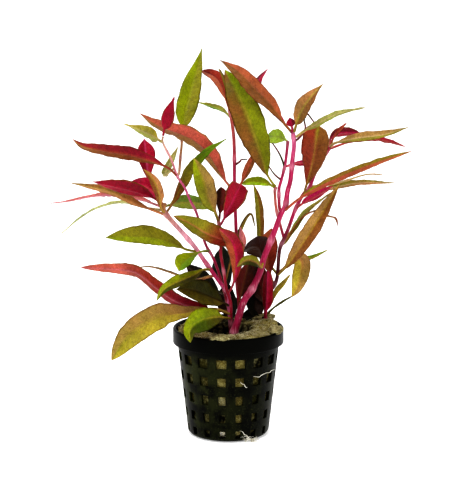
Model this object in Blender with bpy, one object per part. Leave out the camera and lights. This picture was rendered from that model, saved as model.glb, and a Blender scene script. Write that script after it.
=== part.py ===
"""An alternanthera reineckii in its black net pot, in metres with +Z up.

The origin is the centre of the pot's underside. The plant is seen from -Y, with +X to the right.
"""

import math

import bpy
from mathutils import Matrix, Vector

MM = 0.001
GAP = 0.3

# Line of sight: places on the plant are given as seen from one eye, across and up in mm on the
# plane through the pot's axis, with the third number in mm behind the axis
EYE_TURN_DOWN = math.radians(11.5)
EYE_DISTANCE = 950.0
LOOK_AT = Vector((0.8, 0.0, 91.9))
SIGHT = Vector((0.0, math.cos(EYE_TURN_DOWN), -math.sin(EYE_TURN_DOWN)))
SIGHT_UP = Vector((0.0, math.sin(EYE_TURN_DOWN), math.cos(EYE_TURN_DOWN)))
EYE = LOOK_AT - SIGHT * EYE_DISTANCE

# Pot
POT_HEIGHT = 52.0
POT_WALL = 1.2
POT_FOOT_RADIUS = 16.6
POT_BASE_RADIUS = 19.4
POT_BASE_Z = 2.0
POT_SHOULDER_RADIUS = 24.3
RIM_Z = 44.8
RIM_RADIUS = 26.4
RIM_EDGE = 0.5
RIM_MOUTH_RADIUS = 25.0
HOLE_COLUMNS = 16
HOLE_TURN = math.radians(-98.4)
HOLE_ROWS = (
    # bottom, top, width
    (2.0, 5.6, 2.7),
    (9.8, 14.0, 3.1),
    (18.6, 23.1, 3.6),
    (27.9, 32.4, 4.4),
    (36.9, 41.4, 5.1),
)

# Rock wool
WOOL_FOOT_Z = POT_WALL + GAP
WOOL_FOOT_RADIUS = 15.4
WOOL_CLEARANCE = 0.45
WOOL_RIM_RADIUS = 24.0
WOOL_SIDES = 32
WOOL_TOP_Z = 50.8
WELL_FLOOR_Z = 39.0
WELL_FLOOR_RADIUS = 9.6
WELL_MOUTH_RADIUS = 10.8
WOOL_LUMPS = (
    # across, back, height, spread
    (-3.0, -20.5, 1.6, 5.0),
    (20.0, 5.0, 3.0, 9.0),
    (-16.0, 8.0, 1.2, 7.0),
    (9.0, -19.0, 0.9, 5.0),
)

# Stems: width at the foot and at the top, then places along the middle line
STEM_SIDES = 7
STEMS = {
    "stem_left": (1.8, 2.4, (
        (1.5, 48, 1), (0.5, 60, 1), (-0.1, 66.7, 0), (-5.2, 73.8, -3), (-11.5, 82.6, -7),
        (-15.4, 88.3, -9), (-20.2, 94, -11), (-26.2, 100.6, -14), (-30.5, 106, -16),
        (-30.2, 109.5, -16.6),
    )),
    "stem_upper_left": (1.7, 1.0, (
        (1, 48, 5.2), (0, 60, 5.5), (-4, 75, 4), (-7.2, 83.7, 1), (-11, 90.8, 0), (-14.8, 104.3, -4),
        (-18.1, 111.1, -6), (-20.9, 117.5, -8), (-24.1, 122.2, -10), (-26.8, 129.8, -11),
        (-30.9, 138.1, -12), (-30.9, 141, -12.7),
    )),
    "stem_upper_left_side": (1.4, 1.2, (
        (-24.1, 122.2, -10), (-23.2, 124.5, -6), (-22.7, 131, 1), (-22.1, 136.5, 6), (-22, 140, 10.5),
    )),
    "stem_front": (1.6, 1.5, (
        (1.2, 50, -2.6), (1.2, 62, -3), (-0.8, 68.7, -4.2), (-2.4, 78.7, -4.6), (-3.5, 85.3, -4.5),
        (-3.6, 91.6, -4.2), (-4.5, 100.2, -3.6), (-6.1, 105, -4), (-7.6, 110.2, -4.5),
    )),
    "stem_tall": (1.8, 1.7, (
        (3.4, 50, 6.8), (5, 60, 7.5), (4.2, 70, 9), (3.5, 80, 11), (3.7, 94.1, 13.5), (3.3, 106.7, 16),
        (2.9, 118.4, 18.5), (2.9, 130.5, 21), (2.6, 140.4, 23), (1.6, 148.6, 25), (0.3, 155.6, 26),
    )),
    "stem_main": (4.0, 1.9, (
        (2.3, 47.3, -6), (4.5, 54.5, -6.5), (6.5, 61.1, -6.5), (8.2, 64.8, -6.5), (11.2, 69, -6),
        (14.8, 76.4, -5), (16.5, 82.7, -4.5), (19.1, 89.4, -5), (21.8, 96.1, -6), (24.9, 104.5, -8),
        (27, 108.4, -9), (28, 115.1, -10), (29.4, 120.6, -11), (30.4, 130.5, -12.5),
        (31.1, 137.1, -13.5), (30.6, 142.8, -14.5),
    )),
    "stem_main_side": (1.6, 1.4, (
        (24.9, 104.5, -8), (24.2, 107.5, -5), (24, 111, -1.5), (24, 116.5, 1.5), (25.1, 120.6, 3),
        (26.4, 125.8, 4), (27.3, 131, 5), (28.2, 139, 6),
    )),
    "stem_right": (1.8, 1.9, (
        (17.8, 53.9, 10), (17.6, 60, 11), (19, 66.5, 11.5), (21.8, 71, 12), (23.2, 75.2, 12),
        (23.9, 84.8, 12.5), (24.6, 88.9, 13), (26.3, 92.8, 13), (28.5, 97.9, 14), (31.8, 106.9, 15),
        (35.6, 114, 16), (37.9, 115.8, 16), (40.8, 123.5, 15.5), (43.2, 128.4, 14.5), (45.6, 132.5, 13),
        (48.1, 136.2, 11),
    )),
    "stem_right_side": (1.5, 1.4, (
        (26.3, 92.8, 13), (25.6, 95.5, 14.5), (24.2, 100.7, 15), (22.6, 107.3, 15), (22, 115, 15),
        (22.6, 117.3, 15),
    )),
}
FORKS = {
    "stem_upper_left_side": "stem_upper_left",
    "stem_main_side": "stem_main",
    "stem_right_side": "stem_right",
}

# Leaves: the stem that each grows from, its colour, its width, the share of its length where it is
# widest, the turn of its upper side from the eye in degrees about its midrib, then places along the
# midrib
LEAVES = {
    "leaf_top_green": ("stem_upper_left_side", "lime", 10.5, 0.32, 10, (
        (-21.9, 138.5, 10), (-21.3, 146.6, 15), (-20.7, 152, 18), (-19.3, 157.6, 21), (-17.3, 165.8, 27),
        (-14.6, 174.4, 33), (-12.4, 183, 38),
    )),
    "leaf_top_crimson": ("stem_upper_left", "crimson", 6.4, 0.30, 160, (
        (-30.9, 141, -12.7), (-30.2, 145, -13.7), (-28.6, 151, -15), (-27.1, 155.8, -16),
        (-25.5, 159.9, -16.5),
    )),
    "leaf_arching": ("stem_tall", "pink", 9.4, 0.52, 145, (
        (2.9, 114.9, 17.8), (-1.2, 119.8, 11), (-3.9, 124.5, 7), (-9.4, 133.4, 3), (-15.6, 139.3, 1),
        (-22, 142.4, 0), (-30.6, 145.4, -1), (-36.4, 148.2, -1.5), (-41.7, 152, -2),
    )),
    "leaf_pale_upper_left": ("stem_upper_left", "pale_green", 6.8, 0.26, 35, (
        (-30.9, 138.1, -12), (-35, 140.8, -17), (-39.9, 143.2, -22), (-49.3, 147.1, -30),
    )),
    "leaf_long_upper_left": ("stem_upper_left", "red", 7.4, 0.5, 145, (
        (-24.1, 122.2, -10), (-28.5, 126.2, -14), (-36, 129.4, -19), (-46, 132.3, -23), (-58, 134.3, -28),
        (-68, 136.2, -31), (-73.6, 139.8, -34),
    )),
    "leaf_left_rising": ("stem_left", "crimson", 9.0, 0.76, 20, (
        (-30.4, 108.3, -16), (-36, 116, -8), (-38.2, 124.3, -3), (-39.8, 140.1, 3),
    )),
    "leaf_left_crimson": ("stem_left", "crimson", 8.0, 0.45, 145, (
        (-30.4, 108.3, -16), (-36, 112.4, -19.5), (-46.5, 116, -26), (-64, 119.8, -36),
    )),
    "leaf_left_olive": ("stem_left", "brown", 5.4, 0.5, 30, (
        (-30.2, 105, -16), (-32, 107.6, -21), (-32.8, 113, -25), (-34.4, 118.3, -28), (-37.3, 122.7, -29.5),
        (-40, 125.6, -30.5),
    )),
    "leaf_left_brown": ("stem_left", "brown", 5.2, 0.45, 40, (
        (-28.8, 103.6, -15), (-34.2, 105.7, -16), (-40.3, 108, -16), (-46.5, 110.6, -15.5),
        (-55.8, 114.9, -15), (-66, 117.4, -13.5), (-74.2, 119.1, -12),
    )),
    "leaf_left_back": ("stem_left", "pink", 4.8, 0.45, 60, (
        (-30.4, 107.3, -15), (-36, 109.5, -4), (-42, 111.3, 6), (-55, 113.4, 20), (-66, 112.5, 30),
        (-75, 110.6, 38), (-84, 109.6, 44),
    )),
    "leaf_left_hanging": ("stem_left", "pale_green", 3.8, 0.45, 75, (
        (-30.4, 106.2, -15), (-40, 107.6, -7), (-50.6, 109.9, 0), (-62.6, 107.1, 6), (-71.6, 101.5, 10),
        (-78.8, 95.4, 12),
    )),
    "leaf_lime_behind": ("stem_left", "lime", 7.7, 0.5, -25, (
        (-30.3, 108, -16), (-25, 109.4, 2), (-19, 109.8, 14), (-12, 109, 26), (-6.8, 106.9, 36),
    )),
    "leaf_centre_lime": ("stem_front", "olive", 9.4, 0.5, 15, (
        (-4.5, 100.8, -3), (-5.8, 104, -6.5), (-9.4, 112, -12), (-12, 120, -13), (-16.4, 131, -12),
    )),
    "leaf_slanting": ("stem_left", "brown", 5.9, 0.45, 35, (
        (-29.5, 104.8, -15.5), (-26, 110.2, -7), (-22.5, 117.5, -3), (-18.1, 126.2, -2),
        (-10, 134.5, -3), (-0.9, 140, -4),
    )),
    "leaf_centre_heart": ("stem_front", "crimson", 9.6, 0.70, 175, (
        (-4.2, 98.6, -3), (-2.4, 101.5, -9), (1.2, 108.6, -17), (4.4, 115.6, -24), (6.2, 118.4, -32),
    )),
    "leaf_large_green": ("stem_right_side", "olive", 14.4, 0.55, -8, (
        (22.6, 117.3, 15), (20.4, 119.8, 12), (18, 124, 8.5), (16.4, 129.6, 5.5), (13, 140.2, 1.5),
        (9.2, 150.5, 1), (6.2, 157.5, 2.5), (2.4, 165.5, 5), (-1.6, 172.6, 9),
    )),
    "leaf_top_rust": ("stem_tall", "rust", 6.2, 0.60, 15, (
        (0.3, 154.5, 26), (-1.6, 160.3, 31), (-3.4, 165.6, 35.5), (-6.3, 169.4, 39.5), (-12.4, 172.2, 44),
    )),
    "leaf_top_narrow": ("stem_tall", "olive", 3.7, 0.45, 45, (
        (1.2, 150, 25), (-2, 153, 34), (-6.8, 155.1, 44), (-14.5, 157.3, 54),
    )),
    "leaf_large_rust": ("stem_main", "rust", 9.6, 0.45, 30, (
        (30.6, 142.4, -14.5), (26.3, 147.3, -13), (20.9, 154.6, -10), (12.6, 162.8, -6), (5, 171, -2),
        (-3.9, 177.3, 2),
    )),
    "leaf_top_behind": ("stem_main", "crimson", 5.0, 0.62, 20, (
        (30.4, 142.4, -13.5), (25.5, 148.5, 4), (19.5, 155.5, 17), (14, 161.8, 27), (14.2, 167, 34),
        (18.5, 173, 42),
    )),
    "leaf_top_tan": ("stem_main", "tan", 7.6, 0.35, -20, (
        (30.9, 142, -14.5), (32.6, 148, -20), (35.6, 154.9, -26), (40, 160.9, -33), (44.6, 165.8, -40),
    )),
    "leaf_top_right_pale": ("stem_main", "pale_green", 4.2, 0.30, -40, (
        (31, 140, -14), (36, 143.8, -18), (41, 146.4, -23), (52, 151.9, -36), (64.5, 154.8, -50),
    )),
    "leaf_large_red": ("stem_right", "red", 13.2, 0.80, -10, (
        (35.8, 114.2, 16), (36.6, 117, 11), (38.7, 124.2, 4), (40.5, 132, -2), (41.7, 139.9, -6),
        (42.6, 146.4, -9),
    )),
    "leaf_right_tan": ("stem_right", "tan", 5.2, 0.46, -35, (
        (48.1, 136.2, 11), (51, 138.2, 5), (61.5, 140.4, -6), (74, 142, -15), (84.9, 145.4, -22),
    )),
    "leaf_right_crimson": ("stem_right", "crimson", 5.6, 0.45, -145, (
        (47.6, 135.6, 11.5), (48, 139.6, 17), (50.4, 142, 20.5), (54.4, 143, 23.5), (59.3, 143, 27),
        (63, 142.4, 30),
    )),
    "leaf_right_behind": ("stem_right", "crimson", 4.6, 0.72, -50, (
        (47.6, 135.2, 12), (58, 138.6, 24), (69.8, 139.7, 35), (83.5, 136.4, 46),
    )),
    "leaf_right_long": ("stem_main", "olive", 4.8, 0.40, -40, (
        (25.2, 104.7, -8.5), (32.6, 111, -13), (42, 116.6, -18), (53.6, 121.9, -24), (69.4, 128.3, -31),
        (86.3, 134.1, -38),
    )),
    "leaf_right_short_crimson": ("stem_right", "crimson", 4.8, 0.45, -145, (
        (32.2, 107.2, 15), (36, 110, 10), (40.5, 112.5, 7), (49.6, 117.8, 3),
    )),
    "leaf_right_olive": ("stem_right", "olive", 4.0, 0.45, -40, (
        (36.3, 114.5, 16), (40, 114.6, 20), (52, 117.4, 27), (63, 119.2, 34), (78.6, 119.2, 42),
    )),
    "leaf_large_brown": ("stem_right", "brown", 8.0, 0.5, -15, (
        (23.3, 75.4, 12), (28, 80.3, 2), (35.3, 90.8, -7), (42.6, 101.9, -12), (52.6, 118.6, -15),
    )),
    "leaf_right_drooping": ("stem_right", "olive", 8.2, 0.5, 0, (
        (23.2, 75.6, 12), (28, 80.6, 13), (32.6, 83.6, 12), (35, 81, 10), (34, 75, 8), (32.3, 69.5, 7),
        (29.9, 65, 7),
    )),
    "leaf_right_thin": ("stem_right", "brown", 3.6, 0.4, -40, (
        (24.8, 89.4, 13), (27.8, 92, 17), (31, 97, 20.5), (36.6, 105.2, 24), (45.4, 112.2, 27.5),
        (48.4, 114.6, 29),
    )),
    "leaf_small_lime_high": ("stem_main_side", "lime", 7.5, 0.5, 10, (
        (28.1, 138.6, 6), (26.3, 140, 13), (22.5, 141, 22), (18.2, 141, 32),
    )),
    "leaf_small_lime_low": ("stem_right_side", "lime", 4.6, 0.5, 20, (
        (22.4, 116.6, 15), (19.5, 118.4, 19), (15, 119.8, 23), (10, 119.6, 27), (6.4, 118.8, 30),
    )),
    "leaf_upright_olive": ("stem_right", "olive", 4.6, 0.6, 30, (
        (23.2, 76, 12), (18.5, 82, 19), (15.2, 90, 23), (14.8, 100, 24.5), (14, 110, 23), (12, 118.4, 20.5),
    )),
    "leaf_shaded_brown": ("stem_main", "dark_brown", 12.0, 0.5, 30, (
        (16.2, 81.8, -4.5), (16, 84.5, 3), (14.6, 88.2, 8), (11.3, 89, 12), (6.4, 86.4, 15),
    )),
    "leaf_shaded_rust": ("stem_right", "rust", 9.6, 0.55, 10, (
        (21.5, 70.5, 12), (19.2, 79, 14), (18.4, 88.4, 16), (20.4, 97.8, 17),
    )),
    "leaf_shaded_green": ("stem_upper_left", "dark_green", 9.6, 0.55, 0, (
        (-0.5, 63, 5.5), (-1.4, 68.6, 12), (-2.8, 79.4, 22), (-2.6, 89.4, 30),
    )),
    "leaf_centre_crimson": ("stem_front", "crimson", 8.0, 0.64, 170, (
        (-0.3, 66.5, -2.9), (2, 70.5, -7), (3.6, 77, -10), (3.7, 85, -13), (1.5, 92, -17), (-4.2, 97.6, -22),
    )),
    "leaf_centre_rust": ("stem_tall", "pink", 11.0, 0.55, 145, (
        (3.6, 90, 12.5), (3.3, 90.1, 4), (2.2, 90.6, -6), (-3.9, 92.8, -12), (-10, 95.2, -13.5),
        (-18, 100, -14.5), (-26, 103.6, -15),
    )),
    "leaf_small_lime_left": ("stem_upper_left", "lime", 7.4, 0.76, 35, (
        (-9.2, 87, 0.5), (-11.2, 87, -6), (-14.2, 86.2, -12), (-17.2, 84.7, -18), (-20, 82.9, -23),
        (-22, 80.9, -28), (-23.3, 77.6, -33),
    )),
    "leaf_left_lime": ("stem_left", "lime", 10.0, 0.52, 30, (
        (-14.9, 86.6, -8.5), (-20.3, 87.8, -14), (-24.9, 90.2, -18.5), (-35.7, 93.7, -28), (-48, 94, -35),
        (-58.1, 93.2, -40),
    )),
    "leaf_low_long": ("stem_upper_left", "pink", 7.8, 0.3, 140, (
        (0.2, 58.6, 5.5), (-5, 58.6, 4), (-14.9, 59.9, 1), (-24.4, 63.2, -1), (-30, 66.6, -1),
        (-35.5, 70.8, 1), (-40.9, 75.2, 4), (-46, 77.6, 7), (-56, 78.6, 14), (-69.6, 79.1, 22),
    )),
    "leaf_low_olive": ("stem_left", "olive", 6.2, 0.5, 30, (
        (-8.2, 78.2, -5), (-12, 78, -11), (-16.5, 75.5, -16), (-25.2, 71.8, -22), (-30.7, 68.4, -25),
        (-34, 63.2, -27),
    )),
    "leaf_low_dark": ("stem_left", "dark_green", 12.0, 0.5, 30, (
        (0.4, 61, 1), (-5, 63.8, -6), (-12, 66.8, -10), (-18, 68.6, -12.5), (-24.6, 68.8, -14),
    )),
    "leaf_low_large": ("stem_front", "olive", 11.6, 0.76, 20, (
        (1.2, 57, -2.6), (-6, 59.6, -9), (-14, 59.3, -13), (-20.9, 57.8, -18), (-26.7, 57.2, -23),
        (-31.7, 56.3, -27.5), (-36.8, 53.7, -31), (-41.8, 50.5, -34), (-46.9, 46.3, -37),
        (-50.9, 41.5, -38.5), (-55.2, 35.3, -40),
    )),
    "leaf_over_rim": ("stem_front", "lime", 10.8, 0.60, 5, (
        (1.2, 55, -2.6), (-5, 55.8, -14), (-10.3, 55, -20.5), (-14.8, 53.4, -25.5), (-17.6, 51.1, -28.8),
        (-18.7, 48.8, -30.3), (-18.4, 46.3, -31), (-17.9, 43.7, -31),
    )),
    "leaf_foot_right": ("stem_right", "crimson", 6.0, 0.45, 160, (
        (17.7, 54.8, 11), (17.9, 58, 8.4), (18.2, 64, 5.5), (18.4, 70, 4), (18.6, 77.8, 3),
    )),
    "leaf_centre_dark": ("stem_main", "dark_brown", 8.6, 0.6, 25, (
        (5.6, 58.5, -6.5), (5, 61.5, -4), (7, 71.5, -2), (9.6, 81.6, -1),
    )),
}
LEAF_FULLNESS = 2.0
TIP_SHARPNESS = 0.85
LEAF_TIPS = {
    # leaves with a sharpness of their own: the lower it is, the blunter the tip and the broader the base
    "leaf_foot_right": 0.6,
    "leaf_large_red": 0.3,
    "leaf_left_rising": 1.3,
    "leaf_low_long": 0.6,
    "leaf_right_long": 0.72,
    "leaf_small_lime_left": 0.8,
    "leaf_small_lime_low": 0.65,
    "leaf_top_green": 1.2,
    "leaf_top_rust": 0.6,
}
LEAF_FOLD = math.tan(math.radians(17))
STALK_SHARE = 0.10
STALK_WIDTH = 1.1
RIB_THICKNESS = 0.9
TIP_THICKNESS = 0.35
LEAF_STATIONS = (0.0, 0.10, 0.19, 0.30, 0.42, 0.55, 0.68, 0.80, 0.91, 1.0)

# Colours as seen: red, green, blue
POT_COLOUR = (0.012, 0.013, 0.010)
WOOL_COLOUR = (0.38, 0.31, 0.13)
STEM_COLOUR = (0.50, 0.03, 0.16)
LEAF_COLOURS = {
    "lime": (0.24, 0.37, 0.01),
    "pale_green": (0.39, 0.43, 0.12),
    "olive": (0.26, 0.23, 0.02),
    "tan": (0.43, 0.22, 0.07),
    "brown": (0.32, 0.12, 0.03),
    "rust": (0.45, 0.12, 0.05),
    "red": (0.33, 0.03, 0.02),
    "pink": (0.52, 0.10, 0.07),
    "crimson": (0.39, 0.01, 0.04),
    "dark_green": (0.025, 0.030, 0.005),
    "dark_brown": (0.042, 0.014, 0.005),
}


def clear_scene():
    for obj in list(bpy.data.objects):
        bpy.data.objects.remove(obj)


def sighted(across, up, back):
    """The point in mm that the eye sees at this place, that far behind the pot's axis."""
    on_plane = LOOK_AT + Vector((across - LOOK_AT.x, 0, 0)) + SIGHT_UP * (up - LOOK_AT.z * SIGHT_UP.z)
    ray = on_plane - EYE
    return EYE + ray * ((back - EYE.y) / ray.y)


def smooth_line(points, steps=12):
    """Points of a smooth line through the given ones."""
    ends = [points[0] * 2 - points[1], *points, points[-1] * 2 - points[-2]]
    line = []
    for a, b, c, d in zip(ends, ends[1:], ends[2:], ends[3:]):
        for step in range(steps):
            t = step / steps
            line.append(0.5 * (2 * b + (c - a) * t + (2 * a - 5 * b + 4 * c - d) * t**2
                               + (3 * b - a - 3 * c + d) * t**3))
    return line + [points[-1]]


def along(line, shares):
    """Points of the line at these shares of its length."""
    lengths = [0.0]
    for a, b in zip(line, line[1:]):
        lengths.append(lengths[-1] + (b - a).length)
    found = []
    piece = 0
    for share in shares:
        goal = share * lengths[-1]
        while piece < len(line) - 2 and lengths[piece + 1] < goal:
            piece += 1
        span = lengths[piece + 1] - lengths[piece]
        found.append(line[piece].lerp(line[piece + 1], (goal - lengths[piece]) / span))
    return found


def distance_to(point, line):
    """The least distance from the point to the line."""
    least = math.inf
    for a, b in zip(line, line[1:]):
        span = b - a
        share = max(0.0, min(1.0, (point - a).dot(span) / span.length_squared))
        least = min(least, (point - a - span * share).length)
    return least


def started_clear(line, stem, clearance):
    """The line without its start, up to where it is clear of the stem that it grows from."""
    for index, point in enumerate(line):
        if distance_to(point, stem) >= clearance:
            return line[index:]
    return line


def tangents(points):
    ahead = points[1:] + points[-1:]
    behind = points[:1] + points[:-1]
    return [(a - b).normalized() for a, b in zip(ahead, behind)]


def carried(direction, old_tangent, new_tangent):
    """The direction turned as the line turns."""
    return old_tangent.rotation_difference(new_tangent) @ direction


def add_object(name, verts, faces, colour, roughness, smooth, origin=Vector()):
    """A closed solid of one colour, with its own origin, from corners in mm."""
    mesh = bpy.data.meshes.new(name)
    mesh.from_pydata([(vert - origin) * MM for vert in verts], [], faces)
    mesh.polygons.foreach_set("use_smooth", [smooth] * len(faces))
    obj = bpy.data.objects.new(name, mesh)
    obj.location = origin * MM
    bpy.context.scene.collection.objects.link(obj)
    material = bpy.data.materials.new(name)
    material.use_nodes = True
    shader = material.node_tree.nodes["Principled BSDF"]
    shader.inputs["Base Color"].default_value = (*colour, 1.0)
    shader.inputs["Roughness"].default_value = roughness
    mesh.materials.append(material)
    return obj


def bands(rings, first=0):
    """Faces between rings of equal count, each ring a loop of vertex numbers in a row."""
    faces = []
    for row in range(rings[0] - 1):
        for i in range(rings[1]):
            j = (i + 1) % rings[1]
            low = first + row * rings[1]
            faces.append((low + i, low + j, low + rings[1] + j, low + rings[1] + i))
    return faces


# Pot

def wall_radius(z):
    """The outer radius of the tapered wall."""
    share = (z - POT_BASE_Z) / (RIM_Z - POT_BASE_Z)
    return POT_BASE_RADIUS + (POT_SHOULDER_RADIUS - POT_BASE_RADIUS) * share


def hole_half_turn(z):
    """Half the angle of the hole that is nearest in height."""
    bottom, top, width = min(HOLE_ROWS, key=lambda row: abs((row[0] + row[1]) / 2 - z))
    return math.asin(width / 2 / wall_radius((bottom + top) / 2))


def pot_ring(radius, z):
    """Three points to a column of holes: the hole's two sides and the middle of the rib."""
    ring = []
    half = hole_half_turn(z)
    pitch = math.tau / HOLE_COLUMNS
    for column in range(HOLE_COLUMNS):
        middle = HOLE_TURN + column * pitch
        for turn in (middle - half, middle + half, middle + pitch / 2):
            ring.append(Vector((radius * math.cos(turn), radius * math.sin(turn), z)))
    return ring


def make_pot():
    levels = sorted({z for row in HOLE_ROWS for z in row[:2]})
    outer = [(0.35 * POT_FOOT_RADIUS, 0.0), (POT_FOOT_RADIUS, 0.0), (POT_BASE_RADIUS - 0.9, 0.7)]
    outer += [(wall_radius(z), z) for z in levels]
    outer += [(POT_SHOULDER_RADIUS, RIM_Z), (RIM_RADIUS, RIM_Z), (RIM_RADIUS, POT_HEIGHT - RIM_EDGE)]
    outer += [(RIM_RADIUS - RIM_EDGE, POT_HEIGHT)]
    inner = [(RIM_MOUTH_RADIUS + RIM_EDGE, POT_HEIGHT), (RIM_MOUTH_RADIUS, POT_HEIGHT - RIM_EDGE)]
    inner += [(POT_SHOULDER_RADIUS - POT_WALL, RIM_Z)]
    inner += [(wall_radius(z) - POT_WALL, z) for z in reversed(levels)]
    inner += [(POT_FOOT_RADIUS - POT_WALL / 2, POT_WALL), (0.35 * POT_FOOT_RADIUS, POT_WALL)]
    profile = outer + inner
    count = 3 * HOLE_COLUMNS
    verts = [point for radius, z in profile for point in pot_ring(radius, z)]
    faces = []
    open_rows = {row[:2] for row in HOLE_ROWS}
    for row, ((_, z), (_, next_z)) in enumerate(zip(profile, profile[1:])):
        holed = (min(z, next_z), max(z, next_z)) in open_rows
        for i in range(count):
            if holed and i % 3 == 0:
                continue
            j = (i + 1) % count
            faces.append((row * count + i, row * count + j, (row + 1) * count + j, (row + 1) * count + i))
    heights = [z for _, z in profile]
    for bottom, top, _ in HOLE_ROWS:
        out_low, in_low = (place for place, z in enumerate(heights) if z == bottom)
        out_high, in_high = (place for place, z in enumerate(heights) if z == top)
        for column in range(HOLE_COLUMNS):
            a, b = 3 * column, 3 * column + 1
            corners = [out_low * count + a, out_low * count + b, out_high * count + b, out_high * count + a]
            behind = [in_low * count + a, in_low * count + b, in_high * count + b, in_high * count + a]
            for k in range(4):
                n = (k + 1) % 4
                faces.append((corners[k], corners[n], behind[n], behind[k]))
    verts += [Vector((0, 0, 0)), Vector((0, 0, POT_WALL))]
    last = (len(profile) - 1) * count
    for i in range(count):
        j = (i + 1) % count
        faces.append((len(verts) - 2, j, i))
        faces.append((len(verts) - 1, last + i, last + j))
    return add_object("net_pot", verts, faces, POT_COLOUR, 0.45, False)


# Rock wool

def wool_top(x, y):
    """The height of the wool's top, with its lumps."""
    lumps = sum(high * math.exp(-((x - a) ** 2 + (y - b) ** 2) / wide**2) for a, b, high, wide in WOOL_LUMPS)
    return WOOL_TOP_Z + lumps


def wool_edge(z):
    """The radius that keeps the wool clear of the pot's wall."""
    return wall_radius(z) - POT_WALL - WOOL_CLEARANCE


def make_wool():
    rings = [(WOOL_FOOT_RADIUS / 2, WOOL_FOOT_Z), (WOOL_FOOT_RADIUS, WOOL_FOOT_Z), (wool_edge(4.0), 4.0)]
    rings += [(wool_edge(z), z) for z in (16.0, 30.0, RIM_Z)] + [(WOOL_RIM_RADIUS, WOOL_TOP_Z - 0.8)]
    tops = [WOOL_RIM_RADIUS - 0.9, 19.0, 14.5, WELL_MOUTH_RADIUS]
    floor = [(WELL_FLOOR_RADIUS + 0.4, (WELL_FLOOR_Z + WOOL_TOP_Z) / 2), (WELL_FLOOR_RADIUS, WELL_FLOOR_Z)]
    floor += [(WELL_FLOOR_RADIUS / 2, WELL_FLOOR_Z)]
    verts = []
    for radius, z in rings + [(radius, None) for radius in tops] + floor:
        for i in range(WOOL_SIDES):
            turn = math.tau * i / WOOL_SIDES
            x = radius * math.cos(turn)
            y = radius * math.sin(turn)
            verts.append(Vector((x, y, wool_top(x, y) if z is None else z)))
    count = len(verts)
    faces = bands((count // WOOL_SIDES, WOOL_SIDES))
    verts += [Vector((0, 0, WOOL_FOOT_Z)), Vector((0, 0, WELL_FLOOR_Z))]
    for i in range(WOOL_SIDES):
        j = (i + 1) % WOOL_SIDES
        faces.append((count, j, i))
        faces.append((count + 1, count - WOOL_SIDES + i, count - WOOL_SIDES + j))
    return add_object("rockwool_plug", verts, faces, WOOL_COLOUR, 0.95, False)


# Stems

def stem_points(name):
    """The stem's middle line, from the wool or clear of the stem that it forks from."""
    _, _, route = STEMS[name]
    points = [sighted(*place) for place in route]
    if name in FORKS:
        parent = FORKS[name]
        clearance = max(STEMS[parent][:2]) / 2 + GAP + STEMS[name][0] / 2
        line = started_clear(smooth_line(points), stem_line(parent), clearance)
        return along(line, [i / len(route) for i in range(len(route) + 1)])
    foot = points[0]
    in_well = math.hypot(foot.x, foot.y) < WELL_FLOOR_RADIUS
    foot_z = (WELL_FLOOR_Z if in_well else wool_top(foot.x, foot.y)) + GAP
    if in_well:
        return [Vector((foot.x, foot.y, foot_z)), *points]
    return [Vector((foot.x, foot.y, foot_z)), *points[1:]]


def stem_line(name):
    """Close points along the stem's middle line."""
    return smooth_line([sighted(*place) for place in STEMS[name][2]])


def make_stem(name):
    foot_width, top_width, _ = STEMS[name]
    points = stem_points(name)
    aims = tangents(points)
    side = aims[0].orthogonal().normalized()
    verts = []
    for index, (point, aim) in enumerate(zip(points, aims)):
        if index:
            side = carried(side, aims[index - 1], aim)
        other = aim.cross(side)
        share = index / (len(points) - 1)
        radius = (foot_width + (top_width - foot_width) * share) / 2
        for i in range(STEM_SIDES):
            turn = math.tau * i / STEM_SIDES
            flat = side * math.cos(turn) + other * math.sin(turn)
            if index == 0 and name not in FORKS:
                flat = Vector((math.cos(turn), math.sin(turn), 0))
            verts.append(point + flat * radius)
        if index == 0 and name not in FORKS:
            side = (Vector((1, 0, 0)) - aim * aim.x).normalized()
    faces = bands((len(points), STEM_SIDES))
    last = (len(points) - 1) * STEM_SIDES
    faces.append(tuple(reversed(range(STEM_SIDES))))
    faces.append(tuple(last + i for i in range(STEM_SIDES)))
    return add_object(name, verts, faces, STEM_COLOUR, 0.5, True, points[0])


# Leaves

def leaf_half_width(name, share, width, widest):
    """Half the blade's width at this share of the leaf's length, never under the stalk's."""
    fall = max(TIP_SHARPNESS, LEAF_FULLNESS * (1 - widest))
    rise = LEAF_FULLNESS * widest
    if name in LEAF_TIPS:
        fall = LEAF_TIPS[name]
        rise = fall * widest / (1 - widest)
    blade = (share - STALK_SHARE) / (1 - STALK_SHARE)
    if blade <= 0:
        return STALK_WIDTH / 2
    breadth = (blade / widest) ** rise * ((1 - blade) / (1 - widest)) ** fall
    return max(width / 2 * breadth, STALK_WIDTH / 2)


def leaf_sides(points, turn):
    """At each point the direction along the midrib, and the one that the upper side faces."""
    aims = tangents(points)
    middle = len(points) // 2
    to_eye = (EYE - points[middle]).normalized()
    facing = (to_eye - aims[middle] * to_eye.dot(aims[middle])).normalized()
    facing = Matrix.Rotation(math.radians(turn), 3, aims[middle]) @ facing
    ups = [facing] * len(points)
    for i in range(middle + 1, len(points)):
        ups[i] = carried(ups[i - 1], aims[i - 1], aims[i])
    for i in range(middle - 1, -1, -1):
        ups[i] = carried(ups[i + 1], aims[i + 1], aims[i])
    return list(zip(aims, ups))


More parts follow.
